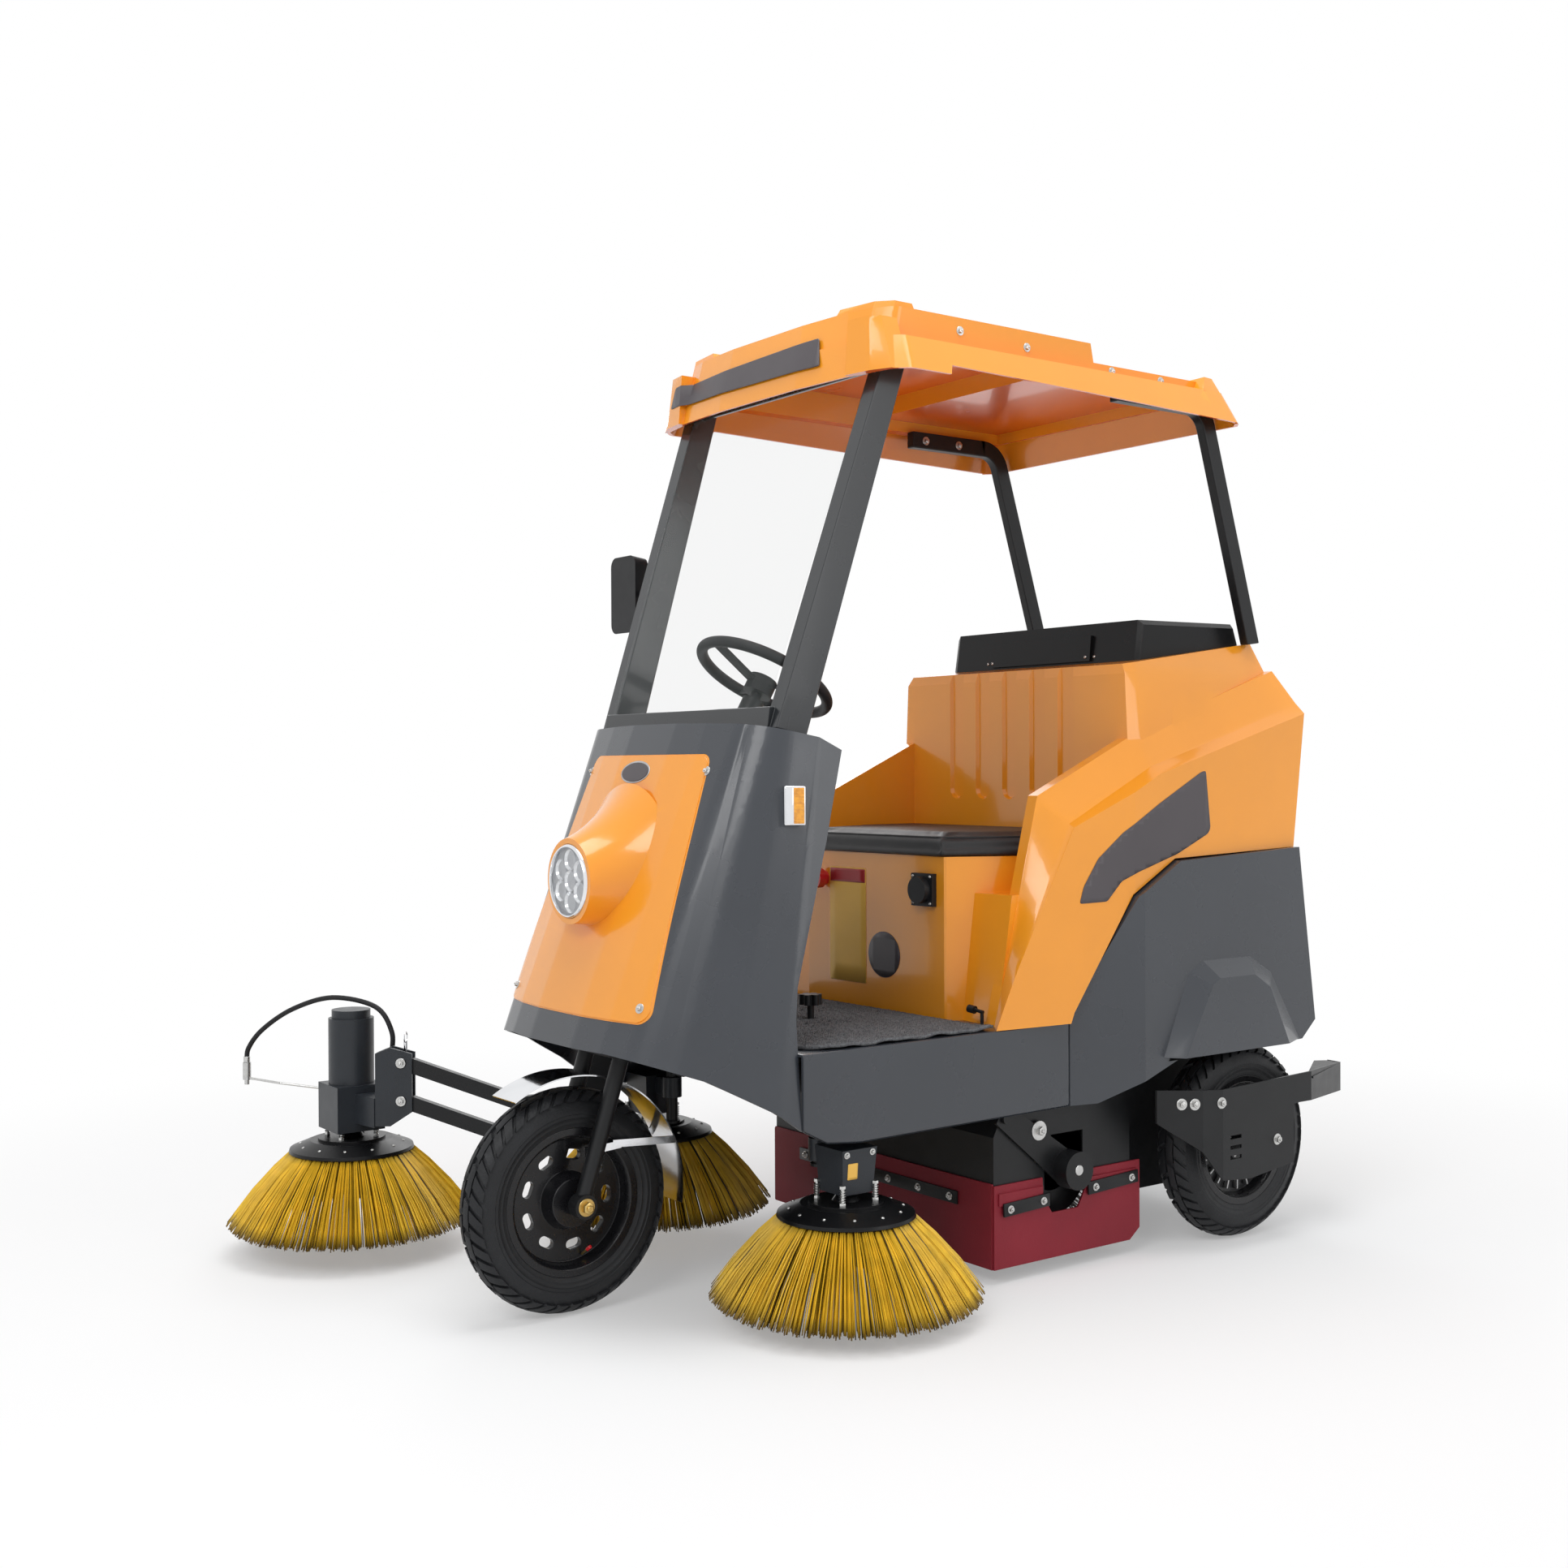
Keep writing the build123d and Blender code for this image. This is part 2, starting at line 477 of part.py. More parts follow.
with BuildPart() as rear_body:
    for sign in (1, -1):
        loft([face_yz(sign * BODY_HALF, wing_face).face(), face_yz(sign * RIDGE_HALF, wing_ridge).face()],
             ruled=True)
        loft([face_yz(sign * RIDGE_HALF, wing_ridge).face(), face_yz(sign * ARM_HALF, wing_arm).face()],
             ruled=True)
        slab(wing_arm, *sorted((sign * ARM_HALF, sign * (ARM_HALF - WING_T))))
        # the wing's face leans in towards the sill at its front
        extrude(plan_face(500, [(sign * 446, 790), (sign * 492, 1280), (sign * 600, 1280), (sign * 600, 790)]),
                amount=800, mode=Mode.SUBTRACT)
    tapered(BODY_FOOT, both_sides(seat_plan), SEAT_Z, both_sides(seat_plan))
    for sign in (1, -1):
        ledge_foot = [(sign * x, y) for x, y in ((235, LEDGE_FRONT - 12), (ARM_HALF, LEDGE_FRONT - 26), (ARM_HALF, 1060), (235, 1060))]
        ledge_top = [(sign * x, y) for x, y in ((235, LEDGE_FRONT + 6), (ARM_HALF, LEDGE_FRONT + 20), (ARM_HALF, 1060), (235, 1060))]
        tapered(BODY_FOOT, ledge_foot, LEDGE_Z, ledge_top)
    tapered(BELT_Z + SEAT_GAP, both_sides(box_low), BOX_MID_Z, both_sides(box_mid))
    tapered(BOX_MID_Z, both_sides(box_mid), BOX_HIGH_Z, both_sides(box_high))
    slab(top_slope, -500, 500, mode=Mode.SUBTRACT)
    add(body_room.part, mode=Mode.SUBTRACT)
    with BuildSketch(Plane(origin=(0, BACK_Y - 1, FLUTE_LOW + 300), x_dir=(1, 0, 0), z_dir=(0, 1, 0))):
        with GridLocations(FLUTE_PITCH, 1, 5, 1):
            SlotOverall(600, FLUTE_W, rotation=90)
    extrude(amount=FLUTE_DEPTH + 1, taper=30, mode=Mode.SUBTRACT)
save(rear_body, "rear_body")

with BuildPart() as seat_cushion:
    tapered(SEAT_Z + SEAT_GAP, both_sides([(262, 838), (358, 1044), (370, 1060), (370, BACK_Y - 4)]), SEAT_Z + 38,
            both_sides([(258, 842), (354, 1046), (366, 1062), (366, BACK_Y - 6)]))
    tapered(SEAT_Z + 38, both_sides([(258, 842), (354, 1046), (366, 1062), (366, BACK_Y - 6)]), SEAT_Z + 50,
            both_sides([(244, 856), (342, 1056), (352, 1072), (352, BACK_Y - 20)]))
save(seat_cushion, "seat_cushion")

with BuildPart() as battery_pack:
    block((-235, 235), (880, 1260), (FLOOR_Z + SEAT_GAP, FLOOR_Z + 240))
save(battery_pack, "battery_pack")

# ------------------------------------------------------------------------ hinged lid
LID_HALF = 338
LID_FRONT = 1412
LID_REAR = 1786
LID_TOP = 1522
LID_HINGE_Z = 1484
slope = (top_slope[1][1] - top_slope[0][1]) / (top_slope[1][0] - top_slope[0][0])


def top_height(y):
    """Height of the box's sloping top."""
    return top_slope[0][1] + slope * (y - top_slope[0][0])


def lid_outline(shrink, top):
    """The lid's side outline on the box's sloping top."""
    front, rear = LID_FRONT + shrink, LID_REAR - shrink
    return [(front, top_height(front) + SEAT_GAP), (rear, top_height(rear) + SEAT_GAP),
            (LID_REAR - 16 - shrink, top), (LID_FRONT + 14 + shrink, top - 4)]


with BuildPart() as hopper_lid:
    loft([face_yz(LID_HALF - 14, lid_outline(0, LID_TOP)).face(), face_yz(LID_HALF, lid_outline(6, LID_TOP - 12)).face()],
         ruled=True)
    loft([face_yz(-LID_HALF + 14, lid_outline(0, LID_TOP)).face(), face_yz(-LID_HALF, lid_outline(6, LID_TOP - 12)).face()],
         ruled=True)
    slab(lid_outline(0, LID_TOP), -LID_HALF + 14, LID_HALF - 14)
    slab([(LID_FRONT + WALL, top_height(LID_FRONT) - 5), (LID_REAR - WALL, top_height(LID_REAR) - 5),
          (LID_REAR - 16 - WALL, LID_TOP - WALL), (LID_FRONT + 14 + WALL, LID_TOP - 4 - WALL)],
         -LID_HALF + 14, LID_HALF - 14, mode=Mode.SUBTRACT)
    # raised grip panel across the front
    slab([(LID_FRONT - 6, 1424), (LID_FRONT + 12, 1424), (LID_FRONT + 12, 1488), (LID_FRONT, 1488)], -180, 180)
    for x in (-200, 200):
        rod((x - 30, LID_REAR + 6, LID_HINGE_Z + 4), (x + 30, LID_REAR + 6, LID_HINGE_Z + 4), 5)
        block((x - 30, x + 30), (LID_REAR - 14, LID_REAR + 6), (LID_HINGE_Z, LID_HINGE_Z + 8))
save(hopper_lid, "hopper_lid")

# ------------------------------------------------------------------------ canopy
STRUT_X = 374
STRUT_W = 26
STRUT_D = 44
PILLAR_W = 44
PILLAR_D = 78
CANOPY_T = 5
PILLAR_FOOT = (332, 337, 1236)          # centre of a windscreen pillar at the cowl
PILLAR_HEAD = (366, 616, ROOF_Z + 72.5)
CANOPY_EASE = (30, 26)
SKIRT_DEPTH = 78
DECK_HALF = STRUT_X + STRUT_W / 2 + SEAT_GAP + CANOPY_T      # the struts lie against the deck's side walls
STEP_Y = 1210               # where the deck drops to its lower rear part
LOW_DECK_H = 106
TOWER_H = 164
roof_plan = [(150, ROOF_FRONT - 26), (320, ROOF_FRONT - 12), (440, ROOF_FRONT + 12), (ROOF_HALF, ROOF_FRONT + 42),
             (ROOF_HALF, 1100), (ROOF_HALF - 8, ROOF_REAR - 28), (ROOF_HALF - 36, ROOF_REAR)]
roof_brim = [(146, ROOF_FRONT - 14), (306, ROOF_FRONT), (404, ROOF_FRONT + 24), (ROOF_HALF - 38, ROOF_FRONT + 54),
             (ROOF_HALF - 38, 1100), (ROOF_HALF - 42, ROOF_REAR - 52), (ROOF_HALF - 70, ROOF_REAR - 24)]
deck_plan = [(142, ROOF_FRONT - 8), (296, ROOF_FRONT + 6), (360, ROOF_FRONT + 24), (DECK_HALF, ROOF_FRONT + 56),
             (DECK_HALF, 1000), (DECK_HALF, STEP_Y), (DECK_HALF - 20, STEP_Y + 4)]
deck_top = [(136, ROOF_FRONT + 8), (286, ROOF_FRONT + 20), (350, ROOF_FRONT + 38), (DECK_HALF, ROOF_FRONT + 70),
            (DECK_HALF, 1000), (DECK_HALF, STEP_Y - 16), (DECK_HALF - 20, STEP_Y - 12)]
deck_room = [(110, ROOF_FRONT + 40), (180, ROOF_FRONT + 44), (262, ROOF_FRONT + 60), (306, ROOF_FRONT + 96),
             (306, ROOF_FRONT + 170), (DECK_HALF - CANOPY_T, ROOF_FRONT + 180), (DECK_HALF - CANOPY_T, STEP_Y - 22)]


def canopy_corner(sign):
    """What a front corner carries: a proud pad down its face and a tower on the deck; and the rear corner's swell."""
    def sided(points):
        return [(sign * x, y) for x, y in points]
    tapered(ROOF_Z, sided([(328, ROOF_FRONT - 24), (398, ROOF_FRONT - 12), (446, ROOF_FRONT + 10), (446, ROOF_FRONT + 60),
                           (328, ROOF_FRONT + 60)]),
            ROOF_Z + 120, sided([(328, ROOF_FRONT - 14), (384, ROOF_FRONT - 4), (402, ROOF_FRONT + 18),
                                 (402, ROOF_FRONT + 60), (328, ROOF_FRONT + 60)]))
    tapered(ROOF_Z + LOW_DECK_H, sided([(214, ROOF_FRONT + 8), (350, ROOF_FRONT + 26), (390, ROOF_FRONT + 60),
                                        (390, ROOF_FRONT + 144), (214, ROOF_FRONT + 150)]),
            ROOF_Z + TOWER_H, sided([(250, ROOF_FRONT + 26), (350, ROOF_FRONT + 42), (382, ROOF_FRONT + 72),
                                     (382, ROOF_FRONT + 120), (250, ROOF_FRONT + 122)]))
    tapered(ROOF_Z + SKIRT_DEPTH - 2, sided([(300, ROOF_REAR - 110), (432, ROOF_REAR - 120), (428, ROOF_REAR - 54),
                                             (400, ROOF_REAR - 28), (300, ROOF_REAR - 28)]),
            ROOF_Z + LOW_DECK_H + 8, sided([(322, ROOF_REAR - 94), (416, ROOF_REAR - 100), (412, ROOF_REAR - 68),
                                            (390, ROOF_REAR - 46), (322, ROOF_REAR - 46)]))


with BuildPart() as canopy_room:
    low, high = [both_sides([(x - CANOPY_T, y + CANOPY_T if y < 1000 else y - (CANOPY_T if y > 1200 else 0))
                             for x, y in plan]) for plan in (roof_plan, roof_brim)]
    tapered(ROOF_Z - 5, low, ROOF_Z + SKIRT_DEPTH - CANOPY_T, high, ease=CANOPY_EASE)
    extrude(plan_face(ROOF_Z + SKIRT_DEPTH - CANOPY_T - 1, both_sides(deck_room)), amount=ROOF_H - SKIRT_DEPTH + 1)
    block((-DECK_HALF + CANOPY_T, DECK_HALF - CANOPY_T), (STEP_Y - 30, ROOF_REAR - 40),
          (ROOF_Z + SKIRT_DEPTH - CANOPY_T - 1, ROOF_Z + LOW_DECK_H - CANOPY_T))
with BuildPart() as canopy:
    tapered(ROOF_Z, both_sides(roof_plan), ROOF_Z + SKIRT_DEPTH, both_sides(roof_brim), ease=CANOPY_EASE)
    tapered(ROOF_Z + SKIRT_DEPTH - 1, both_sides(deck_plan), ROOF_Z + ROOF_H, both_sides(deck_top), ease=CANOPY_EASE)
    block((-DECK_HALF, DECK_HALF), (STEP_Y - 30, ROOF_REAR - 34), (ROOF_Z + SKIRT_DEPTH - 1, ROOF_Z + LOW_DECK_H))
    for sign in (1, -1):
        canopy_corner(sign)
    add(canopy_room.part, mode=Mode.SUBTRACT)
    # the side edges sit higher behind the front corners
    slab([(ROOF_FRONT + 150, ROOF_Z - 10), (ROOF_REAR - 30, ROOF_Z - 10), (ROOF_REAR - 30, ROOF_Z + 2),
          (ROOF_FRONT + 166, ROOF_Z + 22)], -500, 500, mode=Mode.SUBTRACT)
save(canopy, "canopy")

with BuildPart() as windscreen_frame:
    for sign in (1, -1):
        foot_x, head_x = sign * PILLAR_FOOT[0], sign * PILLAR_HEAD[0]
        half_x, low_y, high_y = PILLAR_W / 2, PILLAR_D / 2 + 4, PILLAR_D / 2 - 8
        corners = [(half_x, 1), (half_x, -1), (-half_x, -1), (-half_x, 1)]
        tapered(PILLAR_FOOT[2] - 30, [(foot_x + dx, PILLAR_FOOT[1] + side * low_y) for dx, side in corners],
                PILLAR_HEAD[2], [(head_x + dx, PILLAR_HEAD[1] + side * high_y) for dx, side in corners])
    block((-PILLAR_HEAD[0], PILLAR_HEAD[0]), (PILLAR_HEAD[1] - 26, PILLAR_HEAD[1] - 14), (ROOF_Z + 20, ROOF_Z + 60))
    slab([(292, 1180), (330, 1180), (334, 1286), (306, 1286)], -PILLAR_FOOT[0], PILLAR_FOOT[0])
    slab([(150, 1100), (180, 1262 + SEAT_GAP), (230, 1256 + SEAT_GAP), (400, 1222 + SEAT_GAP),
          (455, 1195 + SEAT_GAP), (480, 1100)], -450, 450, mode=Mode.SUBTRACT)
save(windscreen_frame, "windscreen_frame")

GLASS_T = 5
with BuildPart() as windscreen:
    low_y, high_y = 311, 567
    tapered(1286 + SEAT_GAP, [(330, low_y), (330, low_y + GLASS_T), (-330, low_y + GLASS_T), (-330, low_y)],
            ROOF_Z + 20 - SEAT_GAP,
            [(366, high_y), (366, high_y + GLASS_T), (-366, high_y + GLASS_T), (-366, high_y)])
    for sign in (1, -1):
        foot_x, head_x = sign * PILLAR_FOOT[0], sign * PILLAR_HEAD[0]
        half_x = PILLAR_W / 2 + SEAT_GAP
        corners = [(half_x, 1), (half_x, -1), (-half_x, -1), (-half_x, 1)]
        tapered(PILLAR_FOOT[2] - 30, [(foot_x + dx, PILLAR_FOOT[1] + side * 60) for dx, side in corners],
                PILLAR_HEAD[2], [(head_x + dx, PILLAR_HEAD[1] + side * 60) for dx, side in corners], mode=Mode.SUBTRACT)
save(windscreen, "windscreen")

STRUT_RUN_Z = ROOF_Z + SKIRT_DEPTH - CANOPY_T - SEAT_GAP - STRUT_D / 2
with BuildPart() as rear_struts:
    for sign in (1, -1):
        with BuildLine(Plane.YZ.offset(sign * STRUT_X)) as strut_path:
            FilletPolyline((1798, top_height(1798) - 40), (1604, STRUT_RUN_Z), (1290, STRUT_RUN_Z), radius=70)
        with BuildSketch(Plane(origin=strut_path.line @ 0, x_dir=(1, 0, 0), z_dir=strut_path.line % 0)):
            Rectangle(STRUT_W, STRUT_D)
        sweep(path=strut_path.line)
        slab([(1700, 1300), (1900, 1300), (1900, top_height(1900) + SEAT_GAP), (1700, top_height(1700) + SEAT_GAP)],
             -500, 500, mode=Mode.SUBTRACT)
save(rear_struts, "rear_struts")

MIRROR = (-470, 458, 1590)
with BuildPart() as mirror:
    with BuildSketch(Plane(origin=(MIRROR[0], MIRROR[1] - 22, MIRROR[2]), x_dir=(1, 0, 0), z_dir=(0, 1, 0))):
        RectangleRounded(116, 190, 24)
    extrude(amount=40, taper=8)
    rod((-346 - 22 - SEAT_GAP - 2, 455, 1590), (MIRROR[0] + 40, MIRROR[1] - 4, 1590), 7)
save(mirror, "mirror")

# ------------------------------------------------------------------------ steering wheel

with BuildPart() as steering_wheel:
    rim_plane = Plane(origin=tuple(WHEEL_HUB), x_dir=(1, 0, 0), z_dir=shaft_dir)
    with BuildSketch(Plane(origin=tuple(WHEEL_HUB), x_dir=(1, 0, 0), z_dir=rim_plane.y_dir)):
        with Locations((STEER_WHEEL_R - 13, 0)):
            Circle(13)
    revolve(axis=Axis(tuple(WHEEL_HUB), tuple(shaft_dir)))
    rod(tuple(on_shaft(44)), tuple(on_shaft(4)), 34)
    for angle in (-20, 90, 200):
        out = (rim_plane.x_dir * cos(radians(angle)) - rim_plane.y_dir * sin(radians(angle))) * (STEER_WHEEL_R - 14)
        bar(tuple(on_shaft(24)), tuple(WHEEL_HUB + out), 26, 9)
    rod(tuple(on_shaft(30)), tuple(SHAFT_FOOT), SHAFT_R)
save(steering_wheel, "steering_wheel")

with BuildPart() as steering_tube:
    rod(tuple(on_shaft(420)), tuple(on_shaft(62)), TUBE_R)
    rod(tuple(on_shaft(440)), tuple(on_shaft(50)), SHAFT_R + RUNNING_GAP, mode=Mode.SUBTRACT)
save(steering_tube, "steering_tube")

# ------------------------------------------------------------------------ sweeping gear
ROLLER_Y, ROLLER_Z = 1077, 235
ROLLER_R = 200
HOUSING_HALF = 412
ROLLER_HALF = HOUSING_HALF - 27
HOUSING_GAP = 14
HOUSING_FRONT = ROLLER_Y - ROLLER_R - HOUSING_GAP
HOUSING_REAR = ROLLER_Y + ROLLER_R + HOUSING_GAP
HOUSING_TOP = 470
ARM_PIVOT = (885, 372)      # (y, z) of the roller arms' pivots
ARM_T = 8
FLAP_T = 5
housing_arch = [(HOUSING_FRONT - 5, 190), (HOUSING_FRONT - 5, 330), (HOUSING_FRONT + 70, HOUSING_TOP),
                (HOUSING_REAR - 60, HOUSING_TOP), (HOUSING_REAR + 5, 330), (HOUSING_REAR + 5, 190)]
with BuildPart() as roller_housing:
    slab(housing_arch, -HOUSING_HALF, HOUSING_HALF)
    slab([(HOUSING_FRONT, 180), (HOUSING_FRONT, 330), (HOUSING_FRONT + 72, HOUSING_TOP - 5),
          (HOUSING_REAR - 62, HOUSING_TOP - 5), (HOUSING_REAR, 330), (HOUSING_REAR, 180)],
         -HOUSING_HALF + 5, HOUSING_HALF - 5, mode=Mode.SUBTRACT)
    for sign in (1, -1):
        outside = sorted((sign * (HOUSING_HALF - 8), sign * (HOUSING_HALF + 8)))
        # the side walls are cut away where the roller's ends come down past them
        slab([(ROLLER_Y - 62, 150), (ROLLER_Y - 62, ROLLER_Z), (ROLLER_Y - 40, ROLLER_Z + 80),
              (ROLLER_Y + 62, ROLLER_Z + 80), (ROLLER_Y + 62, 150)], *outside, mode=Mode.SUBTRACT)
        rod((sign * (HOUSING_HALF - 5), *ARM_PIVOT), (sign * (HOUSING_HALF + ARM_T + 10), *ARM_PIVOT), 12)
        # hangers up to the frame's rails
        for y in (HOUSING_FRONT + 90, HOUSING_REAR - 110):
            block(sorted((sign * (RAIL_HALF - 15), sign * (RAIL_HALF + 15))), (y, y + 40),
                  (HOUSING_TOP - 2, RAIL_TOP - RAIL_H))
save(roller_housing, "roller_housing")

with BuildPart() as roller_arms:
    for sign in (1, -1):
        at = sorted((sign * (HOUSING_HALF + 1), sign * (HOUSING_HALF + 1 + ARM_T)))
        slab([(ARM_PIVOT[0] - 26, ARM_PIVOT[1] - 10), (ARM_PIVOT[0] - 4, ARM_PIVOT[1] + 27),
              (ARM_PIVOT[0] + 26, ARM_PIVOT[1] + 20), (ROLLER_Y + 34, ROLLER_Z + 24), (ROLLER_Y + 20, ROLLER_Z - 34),
              (ROLLER_Y - 26, ROLLER_Z - 30)], *at)
        rod((sign * (ROLLER_HALF + 2), ROLLER_Y, ROLLER_Z), (sign * (HOUSING_HALF + ARM_T), ROLLER_Y, ROLLER_Z), 30)
        rod((sign * (HOUSING_HALF + 1 + ARM_T), ROLLER_Y, ROLLER_Z),
            (sign * (HOUSING_HALF + 52), ROLLER_Y, ROLLER_Z), 44)
        rod((sign * HOUSING_HALF, *ARM_PIVOT), (sign * (HOUSING_HALF + 30), *ARM_PIVOT), 12 + RUNNING_GAP,
            mode=Mode.SUBTRACT)
    rod((-ROLLER_HALF - 3, ROLLER_Y, ROLLER_Z), (ROLLER_HALF + 3, ROLLER_Y, ROLLER_Z), 14)
save(roller_arms, "roller_arms")

ROLLER_ROWS = 8
ROLLER_CORE = 110
with BuildPart() as main_roller:
    with BuildSketch(Plane.YZ.offset(-ROLLER_HALF)):
        with Locations((ROLLER_Y, ROLLER_Z)):
            Circle(ROLLER_CORE)
            with PolarLocations(ROLLER_CORE - 6 + (ROLLER_R - ROLLER_CORE + 6) / 2, ROLLER_ROWS):
                Rectangle(ROLLER_R - ROLLER_CORE + 6, 30)
        with Locations((ROLLER_Y, ROLLER_Z)):
            Circle(14 + RUNNING_GAP, mode=Mode.SUBTRACT)
    extrude(amount=2 * ROLLER_HALF)
save(main_roller, "main_roller")

with BuildPart() as rubber_flaps:
    for sign in (1, -1):
        flap_x = sorted((sign * (HOUSING_HALF + SEAT_GAP), sign * (HOUSING_HALF + SEAT_GAP + FLAP_T)))
        slab([(HOUSING_FRONT - 8, 34), (HOUSING_REAR, 34), (HOUSING_REAR + 34, 60), (HOUSING_REAR + 34, 222),
              (ROLLER_Y + 76, 222), (ROLLER_Y + 66, 180), (ROLLER_Y + 42, 138), (ROLLER_Y - 42, 138),
              (ROLLER_Y - 70, 180), (ROLLER_Y - 72, 222), (HOUSING_FRONT - 8, 222)], *flap_x)
        if sign > 0:
            clamp_x = (flap_x[1] - 0.5, flap_x[1] + 4)
        else:
            clamp_x = (flap_x[0] - 4, flap_x[0] + 0.5)
        block(clamp_x, (HOUSING_FRONT + 4, ROLLER_Y - 74), (176, 204))
        block(clamp_x, (ROLLER_Y + 80, HOUSING_REAR + 20), (176, 204))
    block((-HOUSING_HALF, HOUSING_HALF), (HOUSING_FRONT - 5 - SEAT_GAP - FLAP_T, HOUSING_FRONT - 5 - SEAT_GAP),
          (34, 226))
save(rubber_flaps, "rubber_flaps")

# ------------------------------------------------------------------------ dust bin
BIN_HALF = 318
BIN_FRONT = HOUSING_REAR + 5 + 6
BIN_REAR = 1812
BIN_LOW, BIN_HIGH = 118, RAIL_TOP - RAIL_H - 6
with BuildPart() as dust_bin:
    block((-BIN_HALF, BIN_HALF), (BIN_FRONT, BIN_REAR), (BIN_LOW, BIN_HIGH))
    block((-BIN_HALF + WALL, BIN_HALF - WALL), (BIN_FRONT - 5, BIN_REAR - WALL), (BIN_LOW + WALL, BIN_HIGH + 5),
          mode=Mode.SUBTRACT)
    block((-110, 110), (BIN_REAR - 2, BIN_REAR + 34), (300, 314))
    block((-88, 88), (BIN_REAR + 1, BIN_REAR + 22), (298, 316), mode=Mode.SUBTRACT)
save(dust_bin, "dust_bin")

with BuildPart() as bin_rails:
    for sign in (1, -1):
        block(sorted((sign * (BIN_HALF + SEAT_GAP), sign * (BIN_HALF + 27))), (BIN_FRONT, BIN_REAR - 20),
              (BIN_HIGH - 30, BIN_HIGH - 4))
        for y in (BIN_FRONT + 30, BIN_REAR - 90):
            block(sorted((sign * (RAIL_HALF + RAIL_W / 2 - 4), sign * (BIN_HALF + 27))), (y, y + 30),
                  (RAIL_TOP - RAIL_H - 5, RAIL_TOP - RAIL_H - SEAT_GAP))
            block(sorted((sign * (BIN_HALF + 5), sign * (BIN_HALF + 27))), (y, y + 30),
                  (BIN_HIGH - 5, RAIL_TOP - RAIL_H - SEAT_GAP))
save(bin_rails, "bin_rails")

# ------------------------------------------------------------------------ wheel guards
GUARD_X = HALF_TRACK + TYRE_W / 2 + 67
GUARD_T = 4
with BuildPart() as wheel_guards:
    for sign in (1, -1):
        plan = [(GUARD_X - 50, 1288), (GUARD_X - 8, 1400), (GUARD_X, 1462), (GUARD_X, 1792), (GUARD_X - 90, 2030),
                (GUARD_X - 130, 2036)]
        sheet = [(sign * x, y) for x, y in plan] + [(sign * (x - GUARD_T - 1), y - 1) for x, y in reversed(plan)]
        extrude(plan_face(160, sheet), amount=250)
        slab([(1280, 402), (1460, 392), (1800, 402), (2050, 388), (2050, 314), (1790, 330), (1724, 330), (1724, 186),
              (1560, 168), (1462, 176), (1400, 250), (1280, 330)], -600, 600, mode=Mode.INTERSECT)
        for z in (222, 246, 270):
            block(sorted((sign * (GUARD_X - 20), sign * (GUARD_X + 5))), (1488, 1528), (z, z + 9), mode=Mode.SUBTRACT)
        # the return along the top makes the rear corner a step
        extrude(plan_face(388, [(sign * GUARD_X, 1800), (sign * (GUARD_X - 90), 2030), (sign * (GUARD_X - 130), 2034),
                                (sign * (GUARD_X - 150), 2000), (sign * (GUARD_X - 20), 1800)]), amount=-5)
        rod((sign * (HALF_TRACK + REAR_HUB + 8 + SEAT_GAP), WHEELBASE, AXLE_Z), (sign * GUARD_X, WHEELBASE, AXLE_Z), 16)
save(wheel_guards, "wheel_guards")

# ------------------------------------------------------------------------ rear panel and lamps
with BuildPart() as rear_panel:
    panel_x = SKIRT_INNER - 2
    slab([(1868, 521), (1862, 521), (1801, BELT_Z - 1), (1807, BELT_Z - 1)], -panel_x, panel_x)
    slab([(RAIL_REAR + SEAT_GAP, rail_z[0] + 8), (1864, rail_z[0] + 8), (1862, rail_z[1] - 4),
          (RAIL_REAR + SEAT_GAP, rail_z[1] - 4)], -RAIL_HALF, RAIL_HALF)
save(rear_panel, "rear_panel")

TAIL_LAMP_X = (312, 404)
LAMP_SITE = (388, 318, 1080)        # middle of an indicator on the cowl's flank
with BuildPart() as tail_lamps:
    for sign in (1, -1):
        slab([(1840.3, 720), (1858, 724), (1840, 846), (1822, 850)], *sorted(sign * x for x in TAIL_LAMP_X))
save(tail_lamps, "tail_lamps")

with BuildPart() as indicators:
    for sign in (1, -1):
        with BuildSketch(Plane(origin=(sign * (LAMP_SITE[0] + 16), *LAMP_SITE[1:]), x_dir=(sign * 0.4, 0.917, 0),
                               z_dir=(sign * 0.917, -0.4, 0))):
            RectangleRounded(46, 82, 5)
        extrude(amount=-40)
    tapered(COWL_LOW_Z, both_sides(inset(cowl_low, -SEAT_GAP)), COWL_HIGH_Z,
            both_sides(inset(cowl_high, -SEAT_GAP)), mode=Mode.SUBTRACT, ease=COWL_EASE)
save(indicators, "indicators")

# ------------------------------------------------------------------------ controls
cowl_back = [(200, 700), (309 + SEAT_GAP, 710), (403 + SEAT_GAP, 1007), (455 + SEAT_GAP, 1195),
             (400, 1222 + SEAT_GAP), (200, COWL_HIGH_Z)]
with BuildPart() as cowl_controls:
    bar((200, 402, 940), (214, 432, 1010), 22, 30)
    bar((212, 428, 1000), (226, 452, 1110), 34, 40)
    rod((226, 451, 1108), (229, 456, 1132), 6)
    rod((250, 438, 1184), (262, 486, 1192), 12)
    rod((262, 484, 1192), (266, 500, 1195), 17)
    slab(cowl_back, 0, 400, mode=Mode.SUBTRACT)
save(cowl_controls, "cowl_controls")

with BuildPart() as floor_knob:
    rod((*KNOB, FLOOR_Z + SEAT_GAP), (*KNOB, FLOOR_Z + 44), KNOB_STUD_R)
    with BuildSketch(Plane.XY.offset(FLOOR_Z + 40)):
        with Locations(KNOB):
            Circle(16)
            with PolarLocations(18, 6):
                Circle(8)
    extrude(amount=24)
save(floor_knob, "floor_knob")

